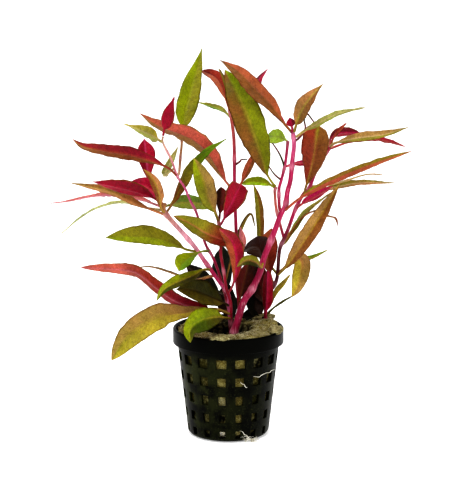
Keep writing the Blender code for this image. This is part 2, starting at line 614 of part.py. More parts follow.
def make_leaf(name):
    stem, colour, width, widest, turn, route = LEAVES[name]
    line = smooth_line([sighted(*place) for place in route])
    line = started_clear(line, stem_line(stem), max(STEMS[stem][:2]) / 2 + GAP + STALK_WIDTH / 2)
    points = along(line, LEAF_STATIONS)
    verts = []
    for share, point, (aim, up) in zip(LEAF_STATIONS[:-1], points, leaf_sides(points, turn)):
        half = leaf_half_width(name, share, width, widest)
        side = aim.cross(up)
        rib = RIB_THICKNESS + (TIP_THICKNESS - RIB_THICKNESS) * share
        lift = up * half * LEAF_FOLD
        verts += [point - side * half + lift, point + up * rib / 2]
        verts += [point + side * half + lift, point - up * rib / 2]
    faces = bands((len(points) - 1, 4))
    tip = len(verts)
    verts.append(points[-1])
    faces.append((3, 2, 1, 0))
    for i in range(4):
        faces.append((tip - 4 + i, tip - 4 + (i + 1) % 4, tip))
    return add_object(name, verts, faces, LEAF_COLOURS[colour], 0.5, True, points[0])


def main():
    clear_scene()
    make_pot()
    make_wool()
    for name in STEMS:
        make_stem(name)
    for name in LEAVES:
        make_leaf(name)


main()
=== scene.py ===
"""The looks of an alternanthera reineckii in its black net pot.

The leaves and stems follow the middle lines of the solids, with finer blades, veins and colours.
"""

import math
import random

import bpy
from mathutils import Matrix, Vector, noise


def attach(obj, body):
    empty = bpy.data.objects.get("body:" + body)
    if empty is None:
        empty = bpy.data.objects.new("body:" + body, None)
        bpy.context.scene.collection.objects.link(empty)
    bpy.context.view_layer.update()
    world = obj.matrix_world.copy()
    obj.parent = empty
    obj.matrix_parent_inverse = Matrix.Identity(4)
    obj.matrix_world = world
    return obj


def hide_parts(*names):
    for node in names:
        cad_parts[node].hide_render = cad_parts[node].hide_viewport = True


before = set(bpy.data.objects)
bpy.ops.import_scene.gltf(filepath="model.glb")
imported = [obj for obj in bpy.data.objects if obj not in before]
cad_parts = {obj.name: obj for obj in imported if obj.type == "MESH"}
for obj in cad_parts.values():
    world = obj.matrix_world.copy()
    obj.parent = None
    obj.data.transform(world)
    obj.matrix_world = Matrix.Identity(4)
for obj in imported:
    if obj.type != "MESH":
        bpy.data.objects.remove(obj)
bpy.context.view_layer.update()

MM = 0.001
GAP = 0.3

# Line of sight: places on the plant are given as seen from one eye, across and up in mm on the
# plane through the pot's axis, with the third number in mm behind the axis
EYE_TURN_DOWN = math.radians(11.5)
EYE_DISTANCE = 950.0
LOOK_AT = Vector((0.8, 0.0, 91.9))
SIGHT = Vector((0.0, math.cos(EYE_TURN_DOWN), -math.sin(EYE_TURN_DOWN)))
SIGHT_UP = Vector((0.0, math.sin(EYE_TURN_DOWN), math.cos(EYE_TURN_DOWN)))
EYE = LOOK_AT - SIGHT * EYE_DISTANCE

# Photograph
PHOTO_HEIGHT_PX = 489
PX_PER_MM = 2.115
SENSOR_HEIGHT = 36.0

# Pot
POT_HEIGHT = 52.0
POT_WALL = 1.2
POT_FOOT_RADIUS = 16.6
POT_BASE_RADIUS = 19.4
POT_BASE_Z = 2.0
POT_BEND_IN = 0.9
POT_BEND_Z = 0.7
POT_SHOULDER_RADIUS = 24.3
UNDERSIDE_RING_SHARE = 0.35
RIM_Z = 44.8
RIM_RADIUS = 26.4
RIM_EDGE = 0.5
RIM_MOUTH_RADIUS = 25.0
HOLE_COLUMNS = 16
HOLE_TURN = math.radians(-98.4)
HOLE_ROWS = (
    # bottom, top, width
    (2.0, 5.6, 2.7),
    (9.8, 14.0, 3.1),
    (18.6, 23.1, 3.6),
    (27.9, 32.4, 4.4),
    (36.9, 41.4, 5.1),
)
HOLE_STEPS = 3
RIB_STEPS = 3
MOULDED_EDGE = 0.22
MOULDED_OVER = math.radians(35)
SHARP_OVER = math.radians(50)

# Rock wool
WOOL_FOOT_Z = POT_WALL + GAP
WOOL_FOOT_RADIUS = 15.4
WOOL_CLEARANCE = 0.45
WOOL_RIM_RADIUS = 24.0
WOOL_TOP_Z = 50.8
WOOL_EDGE_DROP = 0.8
WELL_FLOOR_Z = 39.0
WELL_FLOOR_RADIUS = 9.6
WELL_MOUTH_RADIUS = 10.8
WOOL_LUMPS = (
    # across, back, height, spread
    (-3.0, -20.5, 1.6, 5.0),
    (20.0, 5.0, 3.0, 9.0),
    (-16.0, 8.0, 1.2, 7.0),
    (9.0, -19.0, 0.9, 5.0),
)

# Wool's mesh: points round it, levels up its side, rings on its top, its underside and the well's
# floor, how far out and up the ring on the well's wall lies, and how far in mm the wool's top is
# ruffled and its side is pitted
WOOL_AROUND = 176
WOOL_LEVELS = 42
WOOL_TOP_RINGS = 24
WOOL_UNDERSIDE_RINGS = (0.3, 0.65)
WELL_FLOOR_RINGS = (0.9, 0.65, 0.35)
WELL_LIP = (0.4, 3.0)
WELL_FLOOR_EDGE = 2.0
WOOL_ROUGHNESS = 0.55
WOOL_RUFFLE = 0.75
WOOL_PITS = 0.45

# Wool's colours, the darkest of them serving both the dirt and the painted shade, with painted shade on its
# sides that darkens
# away from the front: the turn in degrees of the unshaded strip down its front and where the painted side
# shade begins and is full, the painted shade round the stems as its centre and half sizes, the dirt, and
# the painted light and shade that show in the holes. A rate is how fast a pattern changes along a mm, and a
# fade is where it begins and is full
WOOL_PALE = Vector((0.46, 0.41, 0.15))
WOOL_KHAKI = Vector((0.25, 0.21, 0.065))
WOOL_SIDE_SHADE_COLOUR = Vector((0.055, 0.058, 0.014))
WOOL_DIRT_AND_SHADE = Vector((0.016, 0.012, 0.007))
WOOL_PATCH_RATE = 0.16
WOOL_PATCH_FADE = (-0.35, 0.35)
WOOL_UNSHADED_FRONT_TURN = 2.5
WOOL_SIDE_SHADE_FADE = (15, 24)
WOOL_STEM_SHADE = (-1.0, 4.0, 12.0, 16.0)
WOOL_STEM_SHADE_FADE = (0.75, 1.15)
WOOL_STEM_SHADE_DEPTH = 0.92
WOOL_DIRT_RATE = 0.22
WOOL_DIRT_FADE = (0.18, 0.5)
WOOL_DIRT_DEPTH = 0.7
WOOL_PATCH_SPREAD = 2.4
# Painted light and shade on the wool in some holes: bright patches where light falls in, dark ones where
# shade falls
WOOL_HOLE_LIGHT_AND_SHADE = (
    # across, height, colour
    (-3.5, 3.8, (1.9, 1.85, 1.6)),
    (5.5, 3.8, (0.60, 0.54, 0.24)),
    (13.5, 39.0, (0.02, 0.02, 0.006)),
    (18.5, 39.0, (0.01, 0.01, 0.004)),
    (-3.5, 11.8, (0.004, 0.005, 0.002)),
    (-3.5, 19.5, (0.55, 0.52, 0.30)),
    (18.0, 21.0, (0.34, 0.31, 0.11)),
    (13.5, 27.0, (0.13, 0.12, 0.03)),
)

# Loose fibres on the wool
FIBRE_COUNT = 900
FIBRE_POINTS = 5
FIBRE_LENGTHS = (1.5, 4.5)
FIBRE_RADIUS = 0.07
FIBRE_LIFT = 0.1
FIBRE_ARCH = 0.9
FIBRE_WANDER = 0.5
# Fibres lie only this far out in the patch of painted shade round the stems
FIBRE_LEAST_STEM_SHADE_SHARE = 1.1
THREAD_SIDES = 3

# Tufts of wool on the rim
TUFTS = (
    # name, centre and half sizes in mm
    ("rockwool_tuft_front", (-2.8, -24.0, 52.2), (5.2, 2.3, 1.2)),
    ("rockwool_tuft_right", (22.5, -8.0, 52.6), (3.2, 7.0, 1.6)),
    ("rockwool_tuft_back", (17.5, 15.5, 52.6), (5.0, 4.2, 1.9)),
)
TUFT_AROUND = 40
TUFT_RINGS = 16
TUFT_LUMPS = 0.42
TUFT_PALE = Vector((0.62, 0.57, 0.32))

# Loose roots on the pot's wall, as places seen in mm across and up, and the fuzz of thin ones at
# its foot, which begins within these ranges
ROOTS = (
    ((11.8, 27.7), (14.4, 27.4), (15.7, 28.3), (17.9, 29.3), (19.6, 29.6), (20.5, 30.6), (22.2, 30.9)),
    ((5.6, 25.0), (6.6, 24.1), (7.4, 23.9), (8.2, 22.6), (9.0, 22.4)),
    ((5.6, 2.0), (6.8, 1.4), (7.6, 0.2), (8.8, -0.3), (9.6, -1.6)),
    ((7.4, -0.6), (9.0, -0.9), (10.6, -1.9), (12.2, -1.6)),
    ((8.6, -1.4), (10.4, -2.3), (11.8, -2.0), (13.4, -1.2)),
)
ROOT_WIDTH = 0.34
ROOT_SIDES = 6
ROOT_CLEARANCE = 0.25
FUZZ_THREADS = 46
FUZZ_ACROSS = (7.5, 13.5)
FUZZ_UP = (-3.2, -1.4)
FUZZ_LOWEST = -3.3
FUZZ_HIGHEST = -0.8
FUZZ_STRAY_ACROSS = (-0.9, 1.0)
FUZZ_STRAY_UP = (-0.5, 0.5)
FUZZ_POINTS = 5
FUZZ_STEPS = 3
FUZZ_RADIUS = 0.07

# Search for the place on the pot: how far behind the axis it begins, the height of a root that lies
# on the ground, and how far a point slides towards the eye to rise by 1
POT_FRONT = -26
ROOT_REST = 0.2
GROUND_SLIDE = 4.9

# Stems: width at the foot and at the top, tones from foot to top, the shares of the length where
# leaves have grown, then places along the middle line
STEMS = {
    "stem_left": (
        1.8, 2.4, "dark_red rose magenta pale_rose tan", (0.16, 0.36, 0.55, 0.74, 0.93),
        (1.5, 48, 1), (0.5, 60, 1), (-0.1, 66.7, 0), (-5.2, 73.8, -3), (-11.5, 82.6, -7),
        (-15.4, 88.3, -9), (-20.2, 94, -11), (-26.2, 100.6, -14), (-30.5, 106, -16),
        (-30.2, 109.5, -16.6)),
    "stem_upper_left": (
        1.7, 1.0, "dark_red crimson magenta rose pale_stem", (0.2, 0.45, 0.66, 0.82, 0.93),
        (1, 48, 5.2), (0, 60, 5.5), (-4, 75, 4), (-7.2, 83.7, 1), (-11, 90.8, 0), (-14.8, 104.3, -4),
        (-18.1, 111.1, -6), (-20.9, 117.5, -8), (-24.1, 122.2, -10), (-26.8, 129.8, -11),
        (-30.9, 138.1, -12), (-30.9, 141, -12.7)),
    "stem_upper_left_side": (
        1.4, 1.2, "pale_stem tan tan", (0.5, 0.97),
        (-24.1, 122.2, -10), (-23.2, 124.5, -6), (-22.7, 131, 1), (-22.1, 136.5, 6), (-22, 140, 10.5)),
    "stem_front": (
        1.6, 1.5, "dark_red crimson crimson rust", (0.2, 0.55, 0.85),
        (1.2, 50, -2.6), (1.2, 62, -3), (-0.8, 68.7, -4.2), (-2.4, 78.7, -4.6), (-3.5, 85.3, -4.5),
        (-3.6, 91.6, -4.2), (-4.5, 100.2, -3.6), (-6.1, 105, -4), (-7.6, 110.2, -4.5)),
    "stem_tall": (
        1.8, 1.7, "dark_red crimson magenta pink", (0.15, 0.42, 0.6, 0.78, 0.97),
        (3.4, 50, 6.8), (5, 60, 7.5), (4.2, 70, 9), (3.5, 80, 11), (3.7, 94.1, 13.5), (3.3, 106.7, 16),
        (2.9, 118.4, 18.5), (2.9, 130.5, 21), (2.6, 140.4, 23), (1.6, 148.6, 25), (0.3, 155.6, 26)),
    "stem_main": (
        4.0, 1.9, "crimson deep_magenta deep_magenta magenta magenta magenta rose",
        (0.1, 0.3, 0.52, 0.7, 0.86, 0.98),
        (2.3, 47.3, -6), (4.5, 54.5, -6.5), (6.5, 61.1, -6.5), (8.2, 64.8, -6.5), (11.2, 69, -6),
        (14.8, 76.4, -5), (16.5, 82.7, -4.5), (19.1, 89.4, -5), (21.8, 96.1, -6), (24.9, 104.5, -8),
        (27, 108.4, -9), (28, 115.1, -10), (29.4, 120.6, -11), (30.4, 130.5, -12.5), (31.1, 137.1, -13.5),
        (30.6, 142.8, -14.5)),
    "stem_main_side": (
        1.6, 1.4, "crimson magenta magenta", (0.3, 0.65, 0.97),
        (24.9, 104.5, -8), (24.2, 107.5, -5), (24, 111, -1.5), (24, 116.5, 1.5), (25.1, 120.6, 3),
        (26.4, 125.8, 4), (27.3, 131, 5), (28.2, 139, 6)),
    "stem_right": (
        1.8, 1.9, "crimson dark_red dark_red magenta magenta crimson", (0.2, 0.42, 0.62, 0.74, 0.96),
        (17.8, 53.9, 10), (17.6, 60, 11), (19, 66.5, 11.5), (21.8, 71, 12), (23.2, 75.2, 12),
        (23.9, 84.8, 12.5), (24.6, 88.9, 13), (26.3, 92.8, 13), (28.5, 97.9, 14), (31.8, 106.9, 15),
        (35.6, 114, 16), (37.9, 115.8, 16), (40.8, 123.5, 15.5), (43.2, 128.4, 14.5), (45.6, 132.5, 13),
        (48.1, 136.2, 11)),
    "stem_right_side": (
        1.5, 1.4, "magenta pink pink", (0.5, 0.96),
        (26.3, 92.8, 13), (25.6, 95.5, 14.5), (24.2, 100.7, 15), (22.6, 107.3, 15), (22, 115, 15),
        (22.6, 117.3, 15)),
}
FORKS = {
    "stem_upper_left_side": "stem_upper_left",
    "stem_main_side": "stem_main",
    "stem_right_side": "stem_right",
}

# Leaves: the stem that each grows from, its colour, its width, the share of its length where it is
# widest, the turn of its upper side from the eye in degrees about its midrib, its look, then places
# along the midrib. A look is the tones from base to tip on the side that the eye sees, then those of
# its left and right half as seen from above with the tip ahead, where they differ, then its
# midrib's, then the other side's
# Painted shade: a darker half, as the brown half of leaf_large_green, is shade on the half turned from the
# light, and the umber, dark_green, dark_brown, dark_olive and shaded_olive looks, as on leaf_shaded_brown,
# leaf_shaded_green, leaf_low_dark and leaf_centre_dark, are shade in the plant's core
LEAVES = {
    "leaf_top_green": (
        "stem_upper_left_side", "lime", 10.5, 0.32, 10, "lime lime lime | lime olive | olive | rust",
        (-21.9, 138.5, 10), (-21.3, 146.6, 15), (-20.7, 152, 18), (-19.3, 157.6, 21), (-17.3, 165.8, 27),
        (-14.6, 174.4, 33), (-12.4, 183, 38)),
    "leaf_top_crimson": (
        "stem_upper_left", "crimson", 6.4, 0.3, 160,
        "crimson deep_crimson | deep_crimson crimson | crimson | olive",
        (-30.9, 141, -12.7), (-30.2, 145, -13.7), (-28.6, 151, -15), (-27.1, 155.8, -16),
        (-25.5, 159.9, -16.5)),
    "leaf_arching": (
        "stem_tall", "pink", 9.4, 0.52, 145,
        "olive_tan rust pink pink olive | pink olive_tan | pink | olive",
        (2.9, 114.9, 17.8), (-1.2, 119.8, 11), (-3.9, 124.5, 7), (-9.4, 133.4, 3), (-15.6, 139.3, 1),
        (-22, 142.4, 0), (-30.6, 145.4, -1), (-36.4, 148.2, -1.5), (-41.7, 152, -2)),
    "leaf_pale_upper_left": (
        "stem_upper_left", "pale_green", 6.8, 0.26, 35,
        "olive pale_green pale_green | pale_green gold | cream | tan",
        (-30.9, 138.1, -12), (-35, 140.8, -17), (-39.9, 143.2, -22), (-49.3, 147.1, -30)),
    "leaf_long_upper_left": (
        "stem_upper_left", "red", 7.4, 0.5, 145,
        "brown deep_crimson red olive | deep_crimson brown | rust | brown",
        (-24.1, 122.2, -10), (-28.5, 126.2, -14), (-36, 129.4, -19), (-46, 132.3, -23), (-58, 134.3, -28),
        (-68, 136.2, -31), (-73.6, 139.8, -34)),
    "leaf_left_rising": (
        "stem_left", "crimson", 9.0, 0.76, 20,
        "dusky_pink deep_crimson crimson | deep_crimson crimson | rose | crimson",
        (-30.4, 108.3, -16), (-36, 116, -8), (-38.2, 124.3, -3), (-39.8, 140.1, 3)),
    "leaf_left_crimson": (
        "stem_left", "crimson", 8.0, 0.45, 145,
        "deep_crimson deep_crimson crimson | deep_crimson crimson | crimson | olive",
        (-30.4, 108.3, -16), (-36, 112.4, -19.5), (-46.5, 116, -26), (-64, 119.8, -36)),
    "leaf_left_olive": (
        "stem_left", "brown", 5.4, 0.5, 30, "tan tan brown brown | brown tan | gold | crimson",
        (-30.2, 105, -16), (-32, 107.6, -21), (-32.8, 113, -25), (-34.4, 118.3, -28),
        (-37.3, 122.7, -29.5), (-40, 125.6, -30.5)),
    "leaf_left_brown": (
        "stem_left", "brown", 5.2, 0.45, 40, "pink brown olive green | tan brown | tan | red",
        (-28.8, 103.6, -15), (-34.2, 105.7, -16), (-40.3, 108, -16), (-46.5, 110.6, -15.5),
        (-55.8, 114.9, -15), (-66, 117.4, -13.5), (-74.2, 119.1, -12)),
    "leaf_left_back": (
        "stem_left", "pink", 4.8, 0.45, 60,
        "dusky_pink dusky_pink dusky_pink | dusky_pink pink | blush | pink",
        (-30.4, 107.3, -15), (-36, 109.5, -4), (-42, 111.3, 6), (-55, 113.4, 20), (-66, 112.5, 30),
        (-75, 110.6, 38), (-84, 109.6, 44)),
    "leaf_left_hanging": (
        "stem_left", "pale_green", 3.8, 0.45, 75,
        "pink grey_green grey_green | grey_green pale_green | cream | grey_green",
        (-30.4, 106.2, -15), (-40, 107.6, -7), (-50.6, 109.9, 0), (-62.6, 107.1, 6), (-71.6, 101.5, 10),
        (-78.8, 95.4, 12)),
    "leaf_lime_behind": (
        "stem_left", "lime", 7.7, 0.5, -25, "green lime lime | green lime | gold | rust",
        (-30.3, 108, -16), (-25, 109.4, 2), (-19, 109.8, 14), (-12, 109, 26), (-6.8, 106.9, 36)),
    "leaf_centre_lime": (
        "stem_front", "olive", 9.4, 0.5, 15, "rust olive_tan olive lime | lime olive_tan | gold | rust",
        (-4.5, 100.8, -3), (-5.8, 104, -6.5), (-9.4, 112, -12), (-12, 120, -13), (-16.4, 131, -12)),
    "leaf_slanting": (
        "stem_left", "brown", 5.9, 0.45, 35, "rust brown olive green green | | olive | red",
        (-29.5, 104.8, -15.5), (-26, 110.2, -7), (-22.5, 117.5, -3), (-18.1, 126.2, -2), (-10, 134.5, -3),
        (-0.9, 140, -4)),
    "leaf_centre_heart": (
        "stem_front", "crimson", 9.6, 0.7, 175,
        "magenta deep_crimson crimson | deep_crimson crimson | magenta | olive",
        (-4.2, 98.6, -3), (-2.4, 101.5, -9), (1.2, 108.6, -17), (4.4, 115.6, -24), (6.2, 118.4, -32)),
    "leaf_large_green": (
        "stem_right_side", "olive", 14.4, 0.55, -8, "olive olive olive green | brown lime | gold | rust",
        (22.6, 117.3, 15), (20.4, 119.8, 12), (18, 124, 8.5), (16.4, 129.6, 5.5), (13, 140.2, 1.5),
        (9.2, 150.5, 1), (6.2, 157.5, 2.5), (2.4, 165.5, 5), (-1.6, 172.6, 9)),
    "leaf_top_rust": (
        "stem_tall", "rust", 6.2, 0.6, 15, "brown rust red dark_red | rust red | maroon | red",
        (0.3, 154.5, 26), (-1.6, 160.3, 31), (-3.4, 165.6, 35.5), (-6.3, 169.4, 39.5),
        (-12.4, 172.2, 44)),
    "leaf_top_narrow": (
        "stem_tall", "olive", 3.7, 0.45, 45, "olive green lime | green olive | gold | rust",
        (1.2, 150, 25), (-2, 153, 34), (-6.8, 155.1, 44), (-14.5, 157.3, 54)),
    "leaf_large_rust": (
        "stem_main", "rust", 9.6, 0.45, 30, "rust brown brown dark_olive | brown rust | brown | red",
        (30.6, 142.4, -14.5), (26.3, 147.3, -13), (20.9, 154.6, -10), (12.6, 162.8, -6), (5, 171, -2),
        (-3.9, 177.3, 2)),
    "leaf_top_behind": (
        "stem_main", "crimson", 5.0, 0.62, 20,
        "crimson crimson crimson | dark_red crimson | magenta | crimson",
        (30.4, 142.4, -13.5), (25.5, 148.5, 4), (19.5, 155.5, 17), (14, 161.8, 27), (14.2, 167, 34),
        (18.5, 173, 42)),
    "leaf_top_tan": (
        "stem_main", "tan", 7.6, 0.35, -20, "olive olive_tan olive_tan | tan brown | gold | pink",
        (30.9, 142, -14.5), (32.6, 148, -20), (35.6, 154.9, -26), (40, 160.9, -33), (44.6, 165.8, -40)),
    "leaf_top_right_pale": (
        "stem_main", "pale_green", 4.2, 0.3, -40,
        "tan pale_green pale_green | pale_green pale_olive | cream | pink",
        (31, 140, -14), (36, 143.8, -18), (41, 146.4, -23), (52, 151.9, -36), (64.5, 154.8, -50)),
    "leaf_large_red": (
        "stem_right", "red", 13.2, 0.8, -10, "rust rust rust olive | red brown | gold | crimson",
        (35.8, 114.2, 16), (36.6, 117, 11), (38.7, 124.2, 4), (40.5, 132, -2), (41.7, 139.9, -6),
        (42.6, 146.4, -9)),
    "leaf_right_tan": (
        "stem_right", "tan", 5.2, 0.46, -35,
        "olive olive_tan olive_tan olive | olive_tan olive | cream | pink",
        (48.1, 136.2, 11), (51, 138.2, 5), (61.5, 140.4, -6), (74, 142, -15), (84.9, 145.4, -22)),
    "leaf_right_crimson": (
        "stem_right", "crimson", 5.6, 0.45, -145,
        "red crimson crimson | crimson dark_red | magenta | olive",
        (47.6, 135.6, 11.5), (48, 139.6, 17), (50.4, 142, 20.5), (54.4, 143, 23.5), (59.3, 143, 27),
        (63, 142.4, 30)),
    "leaf_right_behind": (
        "stem_right", "crimson", 4.6, 0.72, -50, "crimson crimson red | crimson red | pink | crimson",
        (47.6, 135.2, 12), (58, 138.6, 24), (69.8, 139.7, 35), (83.5, 136.4, 46)),
    "leaf_right_long": (
        "stem_main", "olive", 4.8, 0.4, -40, "crimson pink rust olive | olive rust | pink | pink",
        (25.2, 104.7, -8.5), (32.6, 111, -13), (42, 116.6, -18), (53.6, 121.9, -24), (69.4, 128.3, -31),
        (86.3, 134.1, -38)),
    "leaf_right_short_crimson": (
        "stem_right", "crimson", 4.8, 0.45, -145,
        "crimson magenta crimson | crimson magenta | pink | olive",
        (32.2, 107.2, 15), (36, 110, 10), (40.5, 112.5, 7), (49.6, 117.8, 3)),
    "leaf_right_olive": (
        "stem_right", "olive", 4.0, 0.45, -40, "rust olive tan olive | olive tan | cream | pink",
        (36.3, 114.5, 16), (40, 114.6, 20), (52, 117.4, 27), (63, 119.2, 34), (78.6, 119.2, 42)),
    "leaf_large_brown": (
        "stem_right", "brown", 8.0, 0.5, -15, "brown tan brown brown | olive_tan brown | gold | red",
        (23.3, 75.4, 12), (28, 80.3, 2), (35.3, 90.8, -7), (42.6, 101.9, -12), (52.6, 118.6, -15)),
    "leaf_right_drooping": (
        "stem_right", "olive", 8.2, 0.5, 0, "rust tan gold gold | olive_tan gold | tan | pink",
        (23.2, 75.6, 12), (28, 80.6, 13), (32.6, 83.6, 12), (35, 81, 10), (34, 75, 8), (32.3, 69.5, 7),
        (29.9, 65, 7)),
    "leaf_right_thin": (
        "stem_right", "brown", 3.6, 0.4, -40,
        "olive pale_olive pale_olive | pale_olive olive | tan | red",
        (24.8, 89.4, 13), (27.8, 92, 17), (31, 97, 20.5), (36.6, 105.2, 24), (45.4, 112.2, 27.5),
        (48.4, 114.6, 29)),
    "leaf_small_lime_high": (
        "stem_main_side", "lime", 7.5, 0.5, 10, "vivid_green vivid_green vivid_green | | lime | lime",
        (28.1, 138.6, 6), (26.3, 140, 13), (22.5, 141, 22), (18.2, 141, 32)),
    "leaf_small_lime_low": (
        "stem_right_side", "lime", 4.6, 0.5, 20,
        "vivid_green vivid_green lime | vivid_green lime | gold | rust",
        (22.4, 116.6, 15), (19.5, 118.4, 19), (15, 119.8, 23), (10, 119.6, 27), (6.4, 118.8, 30)),
    "leaf_upright_olive": (
        "stem_right", "olive", 4.6, 0.6, 30, "dark_olive olive olive lime | olive brown | gold | red",
        (23.2, 76, 12), (18.5, 82, 19), (15.2, 90, 23), (14.8, 100, 24.5), (14, 110, 23),
        (12, 118.4, 20.5)),
    "leaf_shaded_brown": (
        "stem_main", "dark_brown", 12.0, 0.5, 30, "dark_brown umber | umber dark_brown | umber | umber",
        (16.2, 81.8, -4.5), (16, 84.5, 3), (14.6, 88.2, 8), (11.3, 89, 12), (6.4, 86.4, 15)),
    "leaf_shaded_rust": (
        "stem_right", "rust", 9.6, 0.55, 10, "maroon rust rust | rust red | rust | red",
        (21.5, 70.5, 12), (19.2, 79, 14), (18.4, 88.4, 16), (20.4, 97.8, 17)),
    "leaf_shaded_green": (
        "stem_upper_left", "dark_green", 9.6, 0.55, 0,
        "dark_green dark_green | dark_green dark_green | dark_olive | umber",
        (-0.5, 63, 5.5), (-1.4, 68.6, 12), (-2.8, 79.4, 22), (-2.6, 89.4, 30)),
    "leaf_centre_crimson": (
        "stem_front", "crimson", 8.0, 0.64, 170,
        "rust crimson crimson rust | deep_crimson rust | magenta | olive",
        (-0.3, 66.5, -2.9), (2, 70.5, -7), (3.6, 77, -10), (3.7, 85, -13), (1.5, 92, -17),
        (-4.2, 97.6, -22)),
    "leaf_centre_rust": (
        "stem_tall", "pink", 11.0, 0.55, 145, "deep_crimson red red olive olive | | pink | olive",
        (3.6, 90, 12.5), (3.3, 90.1, 4), (2.2, 90.6, -6), (-3.9, 92.8, -12), (-10, 95.2, -13.5),
        (-18, 100, -14.5), (-26, 103.6, -15)),
    "leaf_small_lime_left": (
        "stem_upper_left", "lime", 7.4, 0.76, 35, "lime lime green | green lime | olive | rust",
        (-9.2, 87, 0.5), (-11.2, 87, -6), (-14.2, 86.2, -12), (-17.2, 84.7, -18), (-20, 82.9, -23),
        (-22, 80.9, -28), (-23.3, 77.6, -33)),
    "leaf_left_lime": (
        "stem_left", "lime", 10.0, 0.52, 30, "brown olive olive lime | lime olive | olive | rust",
        (-14.9, 86.6, -8.5), (-20.3, 87.8, -14), (-24.9, 90.2, -18.5), (-35.7, 93.7, -28), (-48, 94, -35),
        (-58.1, 93.2, -40)),
    "leaf_low_long": (
        "stem_upper_left", "pink", 7.8, 0.3, 140,
        "maroon deep_crimson red pink pink | | dusky_pink | olive",
        (0.2, 58.6, 5.5), (-5, 58.6, 4), (-14.9, 59.9, 1), (-24.4, 63.2, -1), (-30, 66.6, -1),
        (-35.5, 70.8, 1), (-40.9, 75.2, 4), (-46, 77.6, 7), (-56, 78.6, 14), (-69.6, 79.1, 22)),
    "leaf_low_olive": (
        "stem_left", "olive", 6.2, 0.5, 30, "olive olive lime | dark_olive lime | gold | rust",
        (-8.2, 78.2, -5), (-12, 78, -11), (-16.5, 75.5, -16), (-25.2, 71.8, -22), (-30.7, 68.4, -25),
        (-34, 63.2, -27)),
    "leaf_low_dark": (
        "stem_left", "dark_green", 12.0, 0.5, 30,
        "umber dark_olive shaded_olive | shaded_olive dark_olive | umber | umber",
        (0.4, 61, 1), (-5, 63.8, -6), (-12, 66.8, -10), (-18, 68.6, -12.5), (-24.6, 68.8, -14)),
    "leaf_low_large": (
        "stem_front", "olive", 11.6, 0.76, 20,
        "brown olive_tan gold lime | gold olive_tan | olive_tan | rust",
        (1.2, 57, -2.6), (-6, 59.6, -9), (-14, 59.3, -13), (-20.9, 57.8, -18), (-26.7, 57.2, -23),
        (-31.7, 56.3, -27.5), (-36.8, 53.7, -31), (-41.8, 50.5, -34), (-46.9, 46.3, -37),
        (-50.9, 41.5, -38.5), (-55.2, 35.3, -40)),
    "leaf_over_rim": (
        "stem_front", "lime", 10.8, 0.6, 5, "red olive green lime | dark_olive lime | gold | rust",
        (1.2, 55, -2.6), (-5, 55.8, -14), (-10.3, 55, -20.5), (-14.8, 53.4, -25.5), (-17.6, 51.1, -28.8),
        (-18.7, 48.8, -30.3), (-18.4, 46.3, -31), (-17.9, 43.7, -31)),
    "leaf_foot_right": (
        "stem_right", "crimson", 6.0, 0.45, 160,
        "deep_crimson crimson magenta | crimson maroon | magenta | brown",
        (17.7, 54.8, 11), (17.9, 58, 8.4), (18.2, 64, 5.5), (18.4, 70, 4), (18.6, 77.8, 3)),
    "leaf_centre_dark": (
        "stem_main", "dark_brown", 8.6, 0.6, 25, "umber maroon umber | maroon umber | brown | umber",
        (5.6, 58.5, -6.5), (5, 61.5, -4), (7, 71.5, -2), (9.6, 81.6, -1)),
}

# Leaves' outline: how full the blade is, how sharp its tip and how the tip closes, the slope of its
# fold, and the stalk's share of the length and its width
LEAF_FULLNESS = 2.0
TIP_SHARPNESS = 0.85
TIP_END = 1.02
TIP_CLOSING = 12
LEAF_FOLD = math.tan(math.radians(17))
STALK_SHARE = 0.10
STALK_WIDTH = 1.1

# Sharpness of some leaves: the lower it is, the blunter the tip and the broader the base
LEAF_TIPS = {
    "leaf_foot_right": 0.6,
    "leaf_large_red": 0.3,
    "leaf_left_rising": 1.3,
    "leaf_low_long": 0.6,
    "leaf_right_long": 0.72,
    "leaf_small_lime_left": 0.8,
    "leaf_small_lime_low": 0.65,
    "leaf_top_green": 1.2,
    "leaf_top_rust": 0.6,
}
